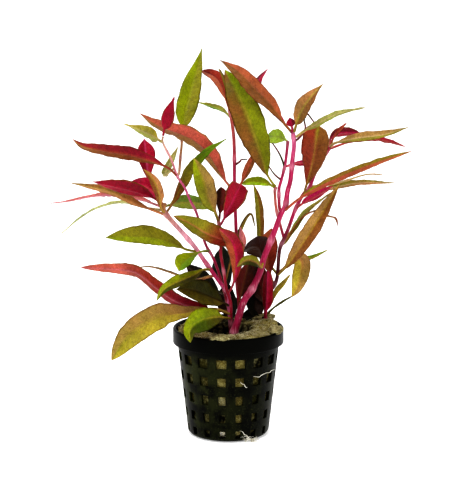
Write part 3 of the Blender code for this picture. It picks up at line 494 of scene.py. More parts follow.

# Small leaves, in the same columns. Those in umber, dark_green and dark_brown, as bud_centre,
# bud_dark_foot, bud_dark_low and the bud_shaded ones, are dark leaves of painted shade that fill the
# plant's shaded core
SMALL_LEAVES = {
    "bud_left": (
        "stem_left", "crimson", 8.5, 0.5, 20, "crimson magenta | magenta crimson | pink | crimson",
        (-30.4, 107.5, -16), (-34, 113, -12.5), (-39, 117.2, -11), (-47.2, 119.2, -10)),
    "bud_upper_left": (
        "stem_upper_left", "olive", 3.6, 0.5, 10,
        "pale_green pale_green | pale_green pale_green | cream | pale_green",
        (-25.6, 126, -10.5), (-30.5, 122.5, 0), (-28, 128, 6), (-23.8, 136.2, 10)),
    "bud_centre": (
        "stem_front", "dark_brown", 6.4, 0.75, 20, "maroon umber | umber maroon | maroon | umber",
        (-4.5, 100.2, -3.6), (-3.8, 106.5, 2), (-3.4, 112, 5), (-3.4, 117.3, 7)),
    "bud_centre_pale": (
        "stem_tall", "pink", 4.2, 0.5, 30,
        "dusky_pink blush dusky_pink | dusky_pink blush | blush | rust",
        (3.6, 86, 12), (5.8, 87.5, 6), (6.4, 92, 3), (5.6, 98.4, 2)),
    "bud_right_high": (
        "stem_right", "rust", 2.2, 0.5, -30, "rust red rust | red rust | pink | rust",
        (48.1, 136, 11), (49.5, 140, 8), (52, 143.5, 5), (55.8, 147.4, 2)),
    "bud_right_thin": (
        "stem_right", "tan", 1.4, 0.5, -60, "tan pale_olive tan | tan pale_olive | cream | pink",
        (38.5, 117.5, 16), (46, 118, 20), (55.2, 120.1, 24), (65.1, 123.1, 27), (72.9, 123.1, 29)),
    "bud_right_low": (
        "stem_right", "olive", 3.0, 0.5, -40, "olive green | green olive | gold | rust",
        (23.3, 76.5, 12.5), (28, 80, 16.5), (34, 82.2, 18), (40, 84, 20), (47, 87.5, 22)),
    "bud_right_hooked": (
        "stem_right", "brown", 2.2, 0.5, -40, "olive brown brown magenta | brown olive | tan | red",
        (25.2, 90.3, 13), (29, 95.5, 19), (34, 102, 22), (39.7, 105.6, 20), (44, 104.4, 10),
        (47.5, 103.3, 2), (50.4, 102.6, -3), (51.5, 100.5, -5), (51.4, 98.6, -6)),
    "bud_main_narrow": (
        "stem_tall", "rust", 4.2, 0.5, 20, "red rust rust | rust brown | pink | red",
        (2.9, 116, 18), (5.8, 118.6, 17), (8.2, 124, 16), (11, 130, 15), (14.5, 136, 14)),
    "bud_foot_low": (
        "stem_right", "olive", 2.6, 0.5, 10, "dark_olive olive olive | olive gold | tan | rust",
        (17.9, 59, 11), (20.4, 62.5, 10), (22.6, 68, 8.5), (26, 72, 7), (29.3, 75.9, 6)),
    "bud_foot_dark": (
        "stem_right", "dark_green", 1.6, 0.5, 40,
        "dark_green dark_olive | dark_olive dark_green | olive | dark_red",
        (17.8, 56.5, 10), (20.6, 59.4, 9.5), (25, 62.9, 8), (30, 65.6, 7)),
    "bud_dark_foot": (
        "stem_right", "dark_green", 9.0, 0.45, 10,
        "umber dark_green | dark_green umber | umber | dark_green",
        (17.8, 56, 10.5), (15.5, 55, 14), (13.2, 58, 17), (12.6, 64, 20), (14, 73, 22)),
    "bud_dark_low": (
        "stem_right", "dark_green", 7.6, 0.62, 10,
        "dark_green dark_green | dark_green dark_green | umber | dark_green",
        (17.7, 55.5, 10.5), (14, 55.5, 14), (10.5, 56, 17), (6.5, 56.5, 19)),
    "bud_shaded_foot": (
        "stem_right", "dark_brown", 10.0, 0.45, 10, "umber maroon | umber maroon | maroon | umber",
        (18.5, 61, 12), (16.5, 64, 18), (15.3, 71, 22), (16, 81, 25)),
    "bud_shaded_centre": (
        "stem_tall", "dark_green", 10.0, 0.5, 10, "dark_green umber | umber dark_green | umber | umber",
        (3.4, 52, 6.8), (1, 57, 13), (-1, 64, 18), (0, 72, 22)),
    "bud_main_top": (
        "stem_main", "crimson", 4.4, 0.5, 0, "crimson crimson | crimson dark_red | magenta | red",
        (30.5, 141.5, -14.5), (30.3, 144.5, -16), (29, 150, -18)),
    "bud_tall": (
        "stem_tall", "dark_green", 2.0, 0.5, 30, "olive dark_olive | olive dark_olive | tan | olive",
        (0.3, 154.5, 26), (0, 160, 27), (-2, 168, 28), (-4.5, 173.2, 29)),
    "bud_low_arch": (
        "stem_main", "olive", 5.0, 0.5, 20, "dark_olive dark_olive olive | dark_olive olive | tan | rust",
        (16.4, 82, -4.5), (15.5, 79.1, -9), (13, 81.5, -13), (8.5, 82.5, -16), (4, 79.5, -18)),
    "bud_main_side": (
        "stem_main_side", "crimson", 3.4, 0.5, 30,
        "crimson magenta crimson | magenta crimson | blush | pink",
        (27.5, 127, 4), (31, 128.3, 7), (36, 128.8, 9), (42.4, 128.6, 11)),
    "bud_behind": (
        "stem_upper_left", "dark_green", 2.2, 0.5, 20,
        "dark_olive olive dark_olive | dark_olive olive | tan | dark_red",
        (-2.5, 68, 5), (1, 82, 12), (6, 98, 18), (10.4, 104.5, 21), (12.6, 98.6, 22)),
    "bud_left_thin": (
        "stem_left", "tan", 2.0, 0.5, 60,
        "olive_tan olive_tan dark_olive | olive_tan dark_olive | tan | pink",
        (-6.5, 75.5, -4), (-17, 73.5, 2), (-28, 77, 6), (-37, 79.5, 9), (-45, 78.9, 12)),
    "bud_shaded_left": (
        "stem_upper_left", "dark_green", 8.0, 0.5, 10,
        "dark_green umber | umber dark_green | dark_olive | umber",
        (-1.5, 66, 5), (-8, 70, 14), (-15, 76, 22), (-20, 81, 28)),
    "bud_shaded_right": (
        "stem_tall", "dark_brown", 8.0, 0.5, 10, "umber maroon | umber dark_green | umber | umber",
        (5, 60, 7.5), (8.5, 66, 16), (11, 76, 24), (12, 84, 30)),
}

# Thin twigs: places along their middle lines, from the stem that carries them
TWIGS = (
    ((31, 138.5, -13.7), (33.9, 140.9, -14), (36.4, 144.7, -15), (35.9, 149.1, -16), (37, 151.7, -16.5)),
    ((36.2, 150, -16.2), (37.3, 151.9, -16.5), (40.8, 147.5, -18)),
    ((36.6, 151, -16.4), (34.5, 153.8, -17)),
    ((26.6, 126.5, 4), (25.4, 130.2, 4.5), (23.5, 134.1, 5), (20.8, 138.1, 5.5)),
    ((25.1, 120.6, 3), (23.5, 121.7, 3.5), (21.5, 123.6, 4), (19.2, 126.9, 6)),
    ((2.9, 127.5, 20.5), (5.4, 129.2, 20), (6.3, 130.2, 19.5), (9, 130.4, 19)),
)
TWIG_WIDTH = 1.1
TWIG_TAPER = 0.45
TWIG_STEPS = 6
TWIG_SIDES = 7

# Tones, as the photograph shows them in full light, except dark_olive, shaded_olive, dark_brown, umber and
# dark_green,
# which are painted shade: the tones of leaves in the plant's shaded core
TONES = {
    "vivid_green": 0xA4C824,
    "lime": 0x86920C,
    "green": 0x66880E,
    "pale_green": 0x9CA058,
    "grey_green": 0x98A870,
    "pale_olive": 0x8C9440,
    "olive": 0x7E7A1E,
    "dark_olive": 0x3A3A0C,
    "shaded_olive": 0x5E5412,
    "gold": 0xA89A34,
    "tan": 0xA8784A,
    "olive_tan": 0x9A7C48,
    "brown": 0x7E5226,
    "dark_brown": 0x2E0E08,
    "umber": 0x301606,
    "maroon": 0x6A1C14,
    "rust": 0x9E5636,
    "red": 0x8A3020,
    "dark_red": 0x560A16,
    "deep_crimson": 0x86102A,
    "crimson": 0x980A30,
    "magenta": 0xB02058,
    "deep_magenta": 0x981848,
    "rose": 0xCC5C8C,
    "pale_rose": 0xDCA0B0,
    "pale_stem": 0xC9A48C,
    "pink": 0xB45C4C,
    "dusky_pink": 0xB86A78,
    "blush": 0xD98884,
    "dark_green": 0x141806,
    "cream": 0xCDB68A,
}

# Stems' mesh: steps along it and points round it, how deep a foot outside the well is sunk, the
# swelling, paleness and length in mm of a place where leaves have grown, and how far the skin is
# uneven and streaked
STEM_STEP = 0.9
STEM_RING_POINTS = 16
STEM_LEAST_RINGS = 12
STEM_SINK = 0.4
NODE_SWELL = 0.26
NODE_PALENESS = 0.42
NODE_LENGTH = 1.7
STEM_SLIMNESS = 0.94
STEM_UNEVENNESS = 0.03
STEM_STREAKS = 0.22

# Leaves' mesh: stations along the blade and on the stalk's foot, which is sunk in the stem by this
# share of its radius, and columns on each half, which bunch by the midrib
BLADE_STATIONS = 61
BLADE_HALF_COLUMNS = 8
COLUMN_BUNCHING = 1.45
SOLID_MIDDLE = 0.55
STALK_SINK = 0.55
STALK_FOOT_STATIONS = (0, 0.25, 0.5, 0.75)

# Leaves' thickness, fold and midrib in mm or as shares
BLADE_THICKNESS = 0.34
EDGE_THICKNESS = 0.12
STALK_THICKENING = 0.22
FOLD_SLOPE = 1.15
FOLD_BOW = 0.25
RIB_DEPTH = 0.42
RIB_FADE = 0.65
RIB_HALF_WIDTH = 0.62
RIB_NARROWING = 0.25
RIB_ON_STALK = 0.45
RIB_GROOVE = 0.2

# Leaves' side veins in mm, and waves: a wave's height is a share of the blade's half width, up to a
# limit, and its rate is how fast it changes along a mm
VEIN_SPACING = 3.4
VEIN_SLOPE = 1.25
VEIN_BOW = 0.06
VEIN_PUFF = 0.05
VEIN_FADE = (0.3, 1.2)
MARGIN_WAVE = 0.2
WAVY_HALF_WIDTH = 5.0
SWAY_RATE = 0.13
SWAY_ACROSS = 0.6
RIPPLE_RATE = 0.34
WIDTH_WAVE = 0.05
WIDTH_RATE = 0.2
EDGE_WAVE = 0.045
EDGE_RATE = 0.5

# Leaves' tones: how strongly each part shows
TONE_ROUGHNESS = 0.11
TONE_CONTRAST = 0.30
HALF_TONE_MOST = 0.9
BACK_TONE_SHARE = 0.25
RIB_TONE_WIDTH = 0.45
RIB_TONE_ABOVE = 0.62
RIB_TONE_BELOW = 0.75
EDGE_TONE_FADE = (0.86, 1.0)
EDGE_TONE = 0.28
EDGE_TINT = (0.75, 0.35, 0.5)

# Patterns on the skins: waves to a metre, detail, the values where it begins and is full, and the
# squeeze of its waves along each axis where there is one
PATTERNS = {
    "leaf mottle": (620.0, 4.0, 0.35, 0.68),
    "leaf speck": (2600.0, 2.0, 0.40, 0.70),
    "leaf dark speck": (1500.0, 3.0, 0.54, 0.68, (1.1, 0.9, 1.0)),
    "stem streak": (900.0, 4.0, 0.35, 0.70, (1.0, 1.0, 0.18)),
    "stem pale streak": (1500.0, 2.0, 0.58, 0.72, (1.0, 1.0, 0.12)),
    # The pot's painted olive sheen, with some dust
    "pot dust and sheen": (160.0, 6.0, 0.36, 0.62),
    "pot scuff": (1400.0, 3.0, 0.58, 0.72),
    "wool fibre": (1800.0, 5.0, 0.38, 0.66, (1.0, 0.4, 1.6)),
    "wool tuft": (420.0, 4.0, 0.46, 0.66),
    "wool mottle": (750.0, 4.0, 0.52, 0.64, (0.8, 1.0, 1.2)),
    "thread patch": (400.0, 3.0, 0.35, 0.65),
}
POT_GRAIN_WAVES = 900.0
POT_GRAIN_DETAIL = 3.0

# Painted olive sheen of the pot, with some dust, stronger on the lit left side: from the first place across
# to the second, in metres, and the least of it on the other side
SHEEN_ACROSS = (0.012, -0.022)
DUST_AND_SHEEN_LEAST = 0.25
SHEEN_AND_SCUFF_BELOW_RIM = 6

# Stage, in metres
FLOOR_FRONT = -3.0
FLOOR_BEND = 1.2
FLOOR_BEND_RADIUS = 0.8
FLOOR_BEND_TURNS = (0.4, 0.8, 1.2, 1.5708)
FLOOR_BACK_TOP = 4.0
FLOOR_HALF_WIDTH = 4.0
FLOOR_DROP = 0.0002
PAPER = (0.92, 0.92, 0.92)
PAPER_GLOW = 0.32
LIGHTS = (
    # name, place, height that it aims at on the axis, size, power
    ("key", (-0.35, -0.9, 1.15), 0.09, 0.55, 10.0),
    ("fill", (0.9, -0.8, 0.5), 0.08, 0.8, 2.0),
    ("top", (0.1, 0.35, 1.3), 0.09, 0.8, 6.0),
)
WORLD_STRENGTH = 0.30


def colour_of(tone):
    """The tone's linear red, green and blue."""
    code = TONES[tone]
    parts = [(code >> shift & 255) / 255 for shift in (16, 8, 0)]
    return Vector([part / 12.92 if part <= 0.04045 else ((part + 0.055) / 1.055) ** 2.4 for part in parts])


def clamped(value, most=1.0):
    return max(0.0, min(most, value))


def smooth_step(low, high, value):
    share = clamped((value - low) / (high - low))
    return share * share * (3 - 2 * share)


def bell(distance, width):
    """1 in the middle, falling to nothing past this width."""
    return math.exp(-((distance / width) ** 2))


def tone_along(tones, share):
    """The colour at this share of the way through the tones."""
    place = share * (len(tones) - 1)
    index = min(int(place), len(tones) - 2)
    return colour_of(tones[index]).lerp(colour_of(tones[index + 1]), smooth_step(0, 1, place - index))


# Places and lines, as in the solids

def sighted(across, up, back):
    """The point in mm that the eye sees at this place, that far behind the pot's axis."""
    on_plane = LOOK_AT + Vector((across - LOOK_AT.x, 0, 0)) + SIGHT_UP * (up - LOOK_AT.z * SIGHT_UP.z)
    ray = on_plane - EYE
    return EYE + ray * ((back - EYE.y) / ray.y)


def smooth_line(points, steps=12):
    """Points of a smooth line through the given ones."""
    ends = [points[0] * 2 - points[1], *points, points[-1] * 2 - points[-2]]
    line = []
    for a, b, c, d in zip(ends, ends[1:], ends[2:], ends[3:]):
        for step in range(steps):
            t = step / steps
            line.append(0.5 * (2 * b + (c - a) * t + (2 * a - 5 * b + 4 * c - d) * t**2
                               + (3 * b - a - 3 * c + d) * t**3))
    return line + [points[-1]]


def length_of(line):
    return sum((b - a).length for a, b in zip(line, line[1:]))


def along(line, shares):
    """Points of the line at these shares of its length."""
    lengths = [0.0]
    for a, b in zip(line, line[1:]):
        lengths.append(lengths[-1] + (b - a).length)
    found = []
    piece = 0
    for share in shares:
        goal = share * lengths[-1]
        while piece < len(line) - 2 and lengths[piece + 1] < goal:
            piece += 1
        span = max(lengths[piece + 1] - lengths[piece], 1e-6)
        found.append(line[piece].lerp(line[piece + 1], (goal - lengths[piece]) / span))
    return found


def distance_to(point, line):
    """The least distance from the point to the line."""
    least = math.inf
    for a, b in zip(line, line[1:]):
        span = b - a
        share = clamped((point - a).dot(span) / span.length_squared)
        least = min(least, (point - a - span * share).length)
    return least


def clear_index(line, stem, clearance):
    """The number of the line's first point that is this far from the stem."""
    for index, point in enumerate(line):
        if distance_to(point, stem) >= clearance:
            return index
    return 0


def tangents(points):
    ahead = points[1:] + points[-1:]
    behind = points[:1] + points[:-1]
    return [(a - b).normalized() for a, b in zip(ahead, behind)]


def carried(direction, old_tangent, new_tangent):
    """The direction turned as the line turns."""
    return old_tangent.rotation_difference(new_tangent) @ direction


def stem_line(name):
    """Close points along the stem's middle line."""
    _, _, _, _, *route = STEMS[name]
    return smooth_line([sighted(*place) for place in route])


# Meshes

def add_object(name, data):
    obj = bpy.data.objects.new(name, data)
    bpy.context.scene.collection.objects.link(obj)
    return obj


def add_piece(name, verts, faces, material, replaces=(), tones=None, extras=None):
    """A piece of the object in mm, with a tone and other values at each point where they are given."""
    mesh = bpy.data.meshes.new(name)
    mesh.from_pydata([vert * MM for vert in verts], [], faces)
    mesh.polygons.foreach_set("use_smooth", [True] * len(faces))
    if tones:
        layer = mesh.color_attributes.new("tone", "FLOAT_COLOR", "POINT")
        layer.data.foreach_set("color", [part for tone in tones for part in (*tone, 1.0)])
    for label, values in (extras or {}).items():
        mesh.attributes.new(label, "FLOAT", "POINT").data.foreach_set("value", values)
    mesh.materials.append(material)
    obj = add_object(name, mesh)
    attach(obj, "root")
    if replaces:
        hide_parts(*replaces)
    return obj


def bands(rows, count, first=0):
    """Faces between rows of rings, each ring this many vertex numbers in a row."""
    faces = []
    for row in range(rows - 1):
        for i in range(count):
            j = (i + 1) % count
            low = first + row * count
            faces.append((low + i, low + j, low + count + j, low + count + i))
    return faces


def caps(first, last, count):
    """Faces that close the ring that begins at first and the one that begins at last."""
    return [tuple(first + i for i in reversed(range(count))), tuple(last + i for i in range(count))]


def fans(count, last, centre):
    """Faces from the first ring to the centre's number, and from the last ring to the next one."""
    faces = []
    for i in range(count):
        j = (i + 1) % count
        faces += [(centre, j, i), (centre + 1, last + i, last + j)]
    return faces


def tube(points, radii, sides, verts, faces):
    """Adds a round closed tube along the points to the lists."""
    aims = tangents(points)
    side = aims[0].orthogonal().normalized()
    first = len(verts)
    for index, (point, aim) in enumerate(zip(points, aims)):
        if index:
            side = carried(side, aims[index - 1], aim)
        other = aim.cross(side)
        for i in range(sides):
            turn = math.tau * i / sides
            verts.append(point + (side * math.cos(turn) + other * math.sin(turn)) * radii[index])
    faces += bands(len(points), sides, first)
    faces += caps(first, first + (len(points) - 1) * sides, sides)


# Materials

class Nodes:
    """Builds a material's nodes round its shader."""

    def __init__(self, name, roughness, specular=0.5):
        self.material = bpy.data.materials.new(name)
        self.material.use_nodes = True
        self.tree = self.material.node_tree
        self.shader = self.tree.nodes["Principled BSDF"]
        self.shader.inputs["Roughness"].default_value = roughness
        self.shader.inputs["Specular IOR Level"].default_value = specular

    def add(self, kind, inputs=(), **settings):
        node = self.tree.nodes.new(kind)
        for key, value in settings.items():
            setattr(node, key, value)
        for key, value in dict(inputs).items():
            self.give(node.inputs[key], value)
        return node

    def give(self, socket, value):
        if isinstance(value, bpy.types.NodeSocket):
            self.tree.links.new(value, socket)
        elif isinstance(value, (tuple, Vector)) and socket.type == "RGBA":
            socket.default_value = (*value, 1.0)
        else:
            socket.default_value = value

    def math(self, operation, first, second=0.0):
        return self.add("ShaderNodeMath", {0: first, 1: second}, operation=operation).outputs[0]

    def times(self, first, second):
        return self.math("MULTIPLY", first, second)

    def ramp(self, value, low, high):
        """0 at the low value and 1 at the high one, smoothly."""
        settings = {"Value": value, "From Min": low, "From Max": high}
        return self.add("ShaderNodeMapRange", settings, interpolation_type="SMOOTHSTEP").outputs[0]

    def mix(self, factor, first, second, blend="MIX"):
        node = self.add("ShaderNodeMix", data_type="RGBA", blend_type=blend)
        self.give(node.inputs[0], factor)
        self.give(node.inputs[6], first)
        self.give(node.inputs[7], second)
        return node.outputs[2]

    def tinted(self, colour, share, tint):
        """The colour multiplied by the tint, by this share."""
        return self.mix(share, colour, tint, "MULTIPLY")

    def laid(self, pattern, strength, under, over):
        """One colour laid over another where the pattern is, this strongly."""
        return self.mix(self.times(pattern, strength), under, over)

    def object_place(self):
        return self.add("ShaderNodeTexCoord").outputs["Object"]

    def noise(self, waves, detail, stretch=(1.0, 1.0, 1.0)):
        """Noise with this many waves to a metre."""
        placed = self.add("ShaderNodeMapping", {"Vector": self.object_place(), "Scale": stretch})
        inputs = {"Vector": placed.outputs[0], "Scale": waves, "Detail": detail}
        return self.add("ShaderNodeTexNoise", inputs).outputs[0]

    def pattern(self, name):
        """The pattern's strength here, from 0 to 1."""
        waves, detail, low, high, *stretch = PATTERNS[name]
        return self.ramp(self.noise(waves, detail, *stretch), low, high)

    def attribute(self, name, output="Color"):
        return self.add("ShaderNodeAttribute", attribute_name=name).outputs[output]

    def bump(self, height, distance, strength):
        inputs = {"Height": height, "Distance": distance, "Strength": strength}
        self.give(self.shader.inputs["Normal"], self.add("ShaderNodeBump", inputs).outputs[0])

    def colour(self, value):
        self.give(self.shader.inputs["Base Color"], value)


def leaf_material():
    """A leaf's skin: its tones with mottles, dark and pale specks, side veins and a faint grain."""
    nodes = Nodes("leaf_skin", 0.45, 0.16)
    tone = nodes.attribute("tone")
    phase = nodes.math("FRACT", nodes.attribute("vein", "Fac"))
    from_vein = nodes.math("ABSOLUTE", nodes.math("SUBTRACT", phase, 0.5))
    vein = nodes.math("SUBTRACT", 1.0, nodes.ramp(from_vein, 0.02, 0.11))
    vein = nodes.times(vein, nodes.attribute("blade", "Fac"))
    mottle = nodes.pattern("leaf mottle")
    speck = nodes.pattern("leaf speck")
    pale = nodes.tinted(tone, 1.0, (1.8, 1.7, 1.6))
    deep = nodes.tinted(tone, 0.50, (0.26, 0.16, 0.11))
    skin = nodes.laid(mottle, 0.7, tone, deep)
    skin = nodes.laid(nodes.pattern("leaf dark speck"), 0.70, skin, deep)
    skin = nodes.laid(speck, 0.42, skin, pale)
    nodes.colour(nodes.laid(vein, 0.20, skin, pale))
    grain = nodes.math("ADD", nodes.times(speck, 0.35), mottle)
    nodes.bump(nodes.math("SUBTRACT", grain, nodes.times(vein, 1.6)), 0.00010, 0.6)
    return nodes.material


def stem_material():
    """A stem's skin: its tones with fine dark and pale streaks."""
    nodes = Nodes("stem_skin", 0.48, 0.3)
    tone = nodes.attribute("tone")
    streak = nodes.pattern("stem streak")
    dark = nodes.tinted(tone, 0.70, (0.22, 0.03, 0.04))
    skin = nodes.laid(streak, 0.6, tone, dark)
    nodes.colour(nodes.laid(nodes.pattern("stem pale streak"), 0.40, skin, (0.75, 0.36, 0.42)))
    nodes.bump(streak, 0.00012, 0.5)
    return nodes.material


def pot_material():
    """Black plastic with a painted olive sheen, with some dust, below the rim, stronger on the lit left,
    and fine scuffs.
    """
    nodes = Nodes("pot_plastic_skin", 0.42, 0.06)
    place = nodes.add("ShaderNodeSeparateXYZ", {0: nodes.object_place()})
    # Painted sheen: the olive, partly dust, grows towards the lit left side
    leftward = nodes.ramp(place.outputs[0], *SHEEN_ACROSS)
    below_rim = nodes.ramp(place.outputs[2], RIM_Z * MM, (RIM_Z - SHEEN_AND_SCUFF_BELOW_RIM) * MM)
    sided = nodes.math("ADD", nodes.times(leftward, 1 - DUST_AND_SHEEN_LEAST), DUST_AND_SHEEN_LEAST)
    dust_and_sheen = nodes.times(nodes.times(nodes.pattern("pot dust and sheen"), sided), below_rim)
    scuff = nodes.times(nodes.pattern("pot scuff"), below_rim)
    black = nodes.mix(dust_and_sheen, (0.0015, 0.0017, 0.0006), (0.024, 0.028, 0.007))
    nodes.colour(nodes.laid(scuff, 0.35, black, (0.09, 0.10, 0.035)))
    rough = nodes.add("ShaderNodeMapRange", {"Value": scuff, "To Min": 0.36, "To Max": 0.62}).outputs[0]
    nodes.give(nodes.shader.inputs["Roughness"], rough)
    nodes.bump(nodes.noise(POT_GRAIN_WAVES, POT_GRAIN_DETAIL), 0.00010, 0.35)
    return nodes.material


def wool_material():
    """Matted fibres, khaki with paler tufts and dark mottles, dark with painted shade in the well."""
    nodes = Nodes("rock_wool_skin", 0.95, 0.1)
    tone = nodes.attribute("tone")
    fibres = nodes.pattern("wool fibre")
    deep = nodes.tinted(tone, 0.8, (0.30, 0.24, 0.10))
    pale = nodes.mix(0.5, tone, (0.60, 0.55, 0.27))
    wool = nodes.laid(nodes.pattern("wool tuft"), 0.55, nodes.mix(fibres, deep, tone), pale)
    nodes.colour(nodes.laid(nodes.pattern("wool mottle"), 0.6, wool, deep))
    nodes.bump(fibres, 0.0004, 0.8)
    return nodes.material


def thread_material(name, dark, pale):
    """A thin thread's skin, darker and paler along its length."""
    nodes = Nodes(name, 0.8)
    nodes.colour(nodes.mix(nodes.pattern("thread patch"), dark, pale))
    return nodes.material


# Pot

def wall_radius(z):
    """The outer radius of the tapered wall."""
    share = (z - POT_BASE_Z) / (RIM_Z - POT_BASE_Z)
    return POT_BASE_RADIUS + (POT_SHOULDER_RADIUS - POT_BASE_RADIUS) * share


def hole_half_turn(z):
    """Half the angle of the hole that is nearest in height."""
    bottom, top, width = min(HOLE_ROWS, key=lambda row: abs((row[0] + row[1]) / 2 - z))
    return math.asin(width / 2 / wall_radius((bottom + top) / 2))


def pot_ring(radius, z):
    """Points round the pot, closer than the solid's: steps over each hole, then over the rib."""
    half = hole_half_turn(z)
    pitch = math.tau / HOLE_COLUMNS
    turns = []
    for column in range(HOLE_COLUMNS):
        middle = HOLE_TURN + column * pitch
        turns += [middle - half + 2 * half * step / HOLE_STEPS for step in range(HOLE_STEPS)]
        turns += [middle + half + (pitch - 2 * half) * step / RIB_STEPS for step in range(RIB_STEPS)]
    return [Vector((radius * math.cos(turn), radius * math.sin(turn), z)) for turn in turns]


def pot_profile():
    """The pot's outer and inner outline as radius and height, with the levels of the holes."""
    levels = [z for bottom, top, _ in HOLE_ROWS for z in (bottom, top)]
    ring = UNDERSIDE_RING_SHARE * POT_FOOT_RADIUS
    outer = [(ring, 0.0), (POT_FOOT_RADIUS, 0.0), (POT_BASE_RADIUS - POT_BEND_IN, POT_BEND_Z)]
    outer += [(wall_radius(z), z) for z in levels]
    outer += [(POT_SHOULDER_RADIUS, RIM_Z), (RIM_RADIUS, RIM_Z), (RIM_RADIUS, POT_HEIGHT - RIM_EDGE)]
    outer += [(RIM_RADIUS - RIM_EDGE, POT_HEIGHT)]
    inner = [(RIM_MOUTH_RADIUS + RIM_EDGE, POT_HEIGHT), (RIM_MOUTH_RADIUS, POT_HEIGHT - RIM_EDGE)]
    inner += [(POT_SHOULDER_RADIUS - POT_WALL, RIM_Z)]
    inner += [(wall_radius(z) - POT_WALL, z) for z in reversed(levels)]
    inner += [(POT_FOOT_RADIUS - POT_WALL / 2, POT_WALL), (ring, POT_WALL)]
    return outer + inner


def pot_wall_faces(profile, around):
    """Faces between the profile's rings, left open at the holes."""
    count = around * HOLE_COLUMNS
    open_rows = {row[:2] for row in HOLE_ROWS}
    faces = []
    for row, ((_, z), (_, next_z)) in enumerate(zip(profile, profile[1:])):
        holed = (min(z, next_z), max(z, next_z)) in open_rows
        for i in range(count):
            if holed and i % around < HOLE_STEPS:
                continue
            j = (i + 1) % count
            faces.append((row * count + i, row * count + j, (row + 1) * count + j, (row + 1) * count + i))
    return faces


def hole_edge_faces(profile, around):
    """Faces through the wall round each hole."""
    count = around * HOLE_COLUMNS
    heights = [z for _, z in profile]
    faces = []
    for bottom, top, _ in HOLE_ROWS:
        out_low, in_low = (place for place, z in enumerate(heights) if z == bottom)
        out_high, in_high = (place for place, z in enumerate(heights) if z == top)
        for first in range(0, count, around):
            sweep = [first + step for step in range(HOLE_STEPS + 1)]
            loop = [(out_low, in_low, i) for i in sweep]
            loop += [(out_high, in_high, i) for i in reversed(sweep)]
            for (out_a, in_a, a), (out_b, in_b, b) in zip(loop, loop[1:] + loop[:1]):
                faces.append((out_a * count + a, out_b * count + b, in_b * count + b, in_a * count + a))
    return faces


def make_pot(material):
    profile = pot_profile()
    around = HOLE_STEPS + RIB_STEPS
    count = around * HOLE_COLUMNS
    verts = [point for radius, z in profile for point in pot_ring(radius, z)]
    faces = pot_wall_faces(profile, around) + hole_edge_faces(profile, around)
    faces += fans(count, (len(profile) - 1) * count, len(verts))
    verts += [Vector((0, 0, 0)), Vector((0, 0, POT_WALL))]
    pot = add_piece("pot_body", verts, faces, material, ("net_pot",))
    bevel = pot.modifiers.new("moulded_edges", "BEVEL")
    bevel.width = MOULDED_EDGE * MM
    bevel.segments = 2
    bevel.limit_method = "ANGLE"
    bevel.angle_limit = MOULDED_OVER
    pot.data.set_sharp_from_angle(angle=SHARP_OVER)


# Rock wool

def wool_top(x, y):
    """The height of the wool's top, with its lumps."""
    height = 0
    for across, back, high, spread in WOOL_LUMPS:
        height += high * math.exp(-((x - across) ** 2 + (y - back) ** 2) / spread**2)
    return WOOL_TOP_Z + height


def wool_radius(z):
    """The wool's outer radius: clear of the wall, then wider in the rim's mouth."""
    share = smooth_step(RIM_Z, WOOL_TOP_Z - WOOL_EDGE_DROP, z)
    by_wall = wall_radius(min(z, RIM_Z)) - POT_WALL - WOOL_CLEARANCE
    return by_wall * (1 - share) + WOOL_RIM_RADIUS * share


def stem_shade_share(x, y):
    """How far out this place is in the patch of painted shade round the stems, which ends at 1."""
    across, back, half_width, half_depth = WOOL_STEM_SHADE
    return math.hypot((x - across) / half_width, (y - back) / half_depth)


def wool_shade(x, y, z):
    """The wool's colour here: pale on top, painted shade down the well, round the stems and on the sides,
    painted light and shade in some holes, and dirt.
    """
    patch = noise.noise(Vector((x, y, z)) * WOOL_PATCH_RATE)
    shade = WOOL_KHAKI.lerp(WOOL_PALE, smooth_step(*WOOL_PATCH_FADE, patch))
    radius = math.hypot(x, y)
    if z < RIM_Z and radius > WELL_MOUTH_RADIUS + 2:
        # Painted shade on the wool's sides, seen through the holes, darker away from the unshaded front
        turn_from_front = abs(math.degrees(math.atan2(x, -y)) - WOOL_UNSHADED_FRONT_TURN)
        side_shade = smooth_step(*WOOL_SIDE_SHADE_FADE, turn_from_front) * (0.78 + 0.5 * patch)
        shade = shade.lerp(WOOL_SIDE_SHADE_COLOUR, clamped(side_shade))
        # Painted highlights and painted shade on the wool in some holes
        for across, height, colour in WOOL_HOLE_LIGHT_AND_SHADE:
            near = math.exp(-((x - across) ** 2 + (z - height) ** 2) / WOOL_PATCH_SPREAD**2) * (y < 0)
            shade = shade.lerp(Vector(colour), min(1.0, near * 1.8))
        return shade
    # Painted shade down the well; the darkest colour serves the dirt, the well's painted shade and the
    # painted shade round the stems
    in_well = 1 - smooth_step(WELL_FLOOR_RADIUS, WELL_MOUTH_RADIUS + 4, radius)
    dirt = smooth_step(*WOOL_DIRT_FADE, noise.noise(Vector((x + 40, y, z)) * WOOL_DIRT_RATE))
    # Painted shade round the stems, where the leaves shade the wool
    stem_shade = WOOL_STEM_SHADE_DEPTH * (1 - smooth_step(*WOOL_STEM_SHADE_FADE, stem_shade_share(x, y) + 0.3 * patch))
    return shade.lerp(WOOL_DIRT_AND_SHADE, max(in_well * (z > WELL_FLOOR_Z - 2), dirt * WOOL_DIRT_DEPTH, stem_shade))


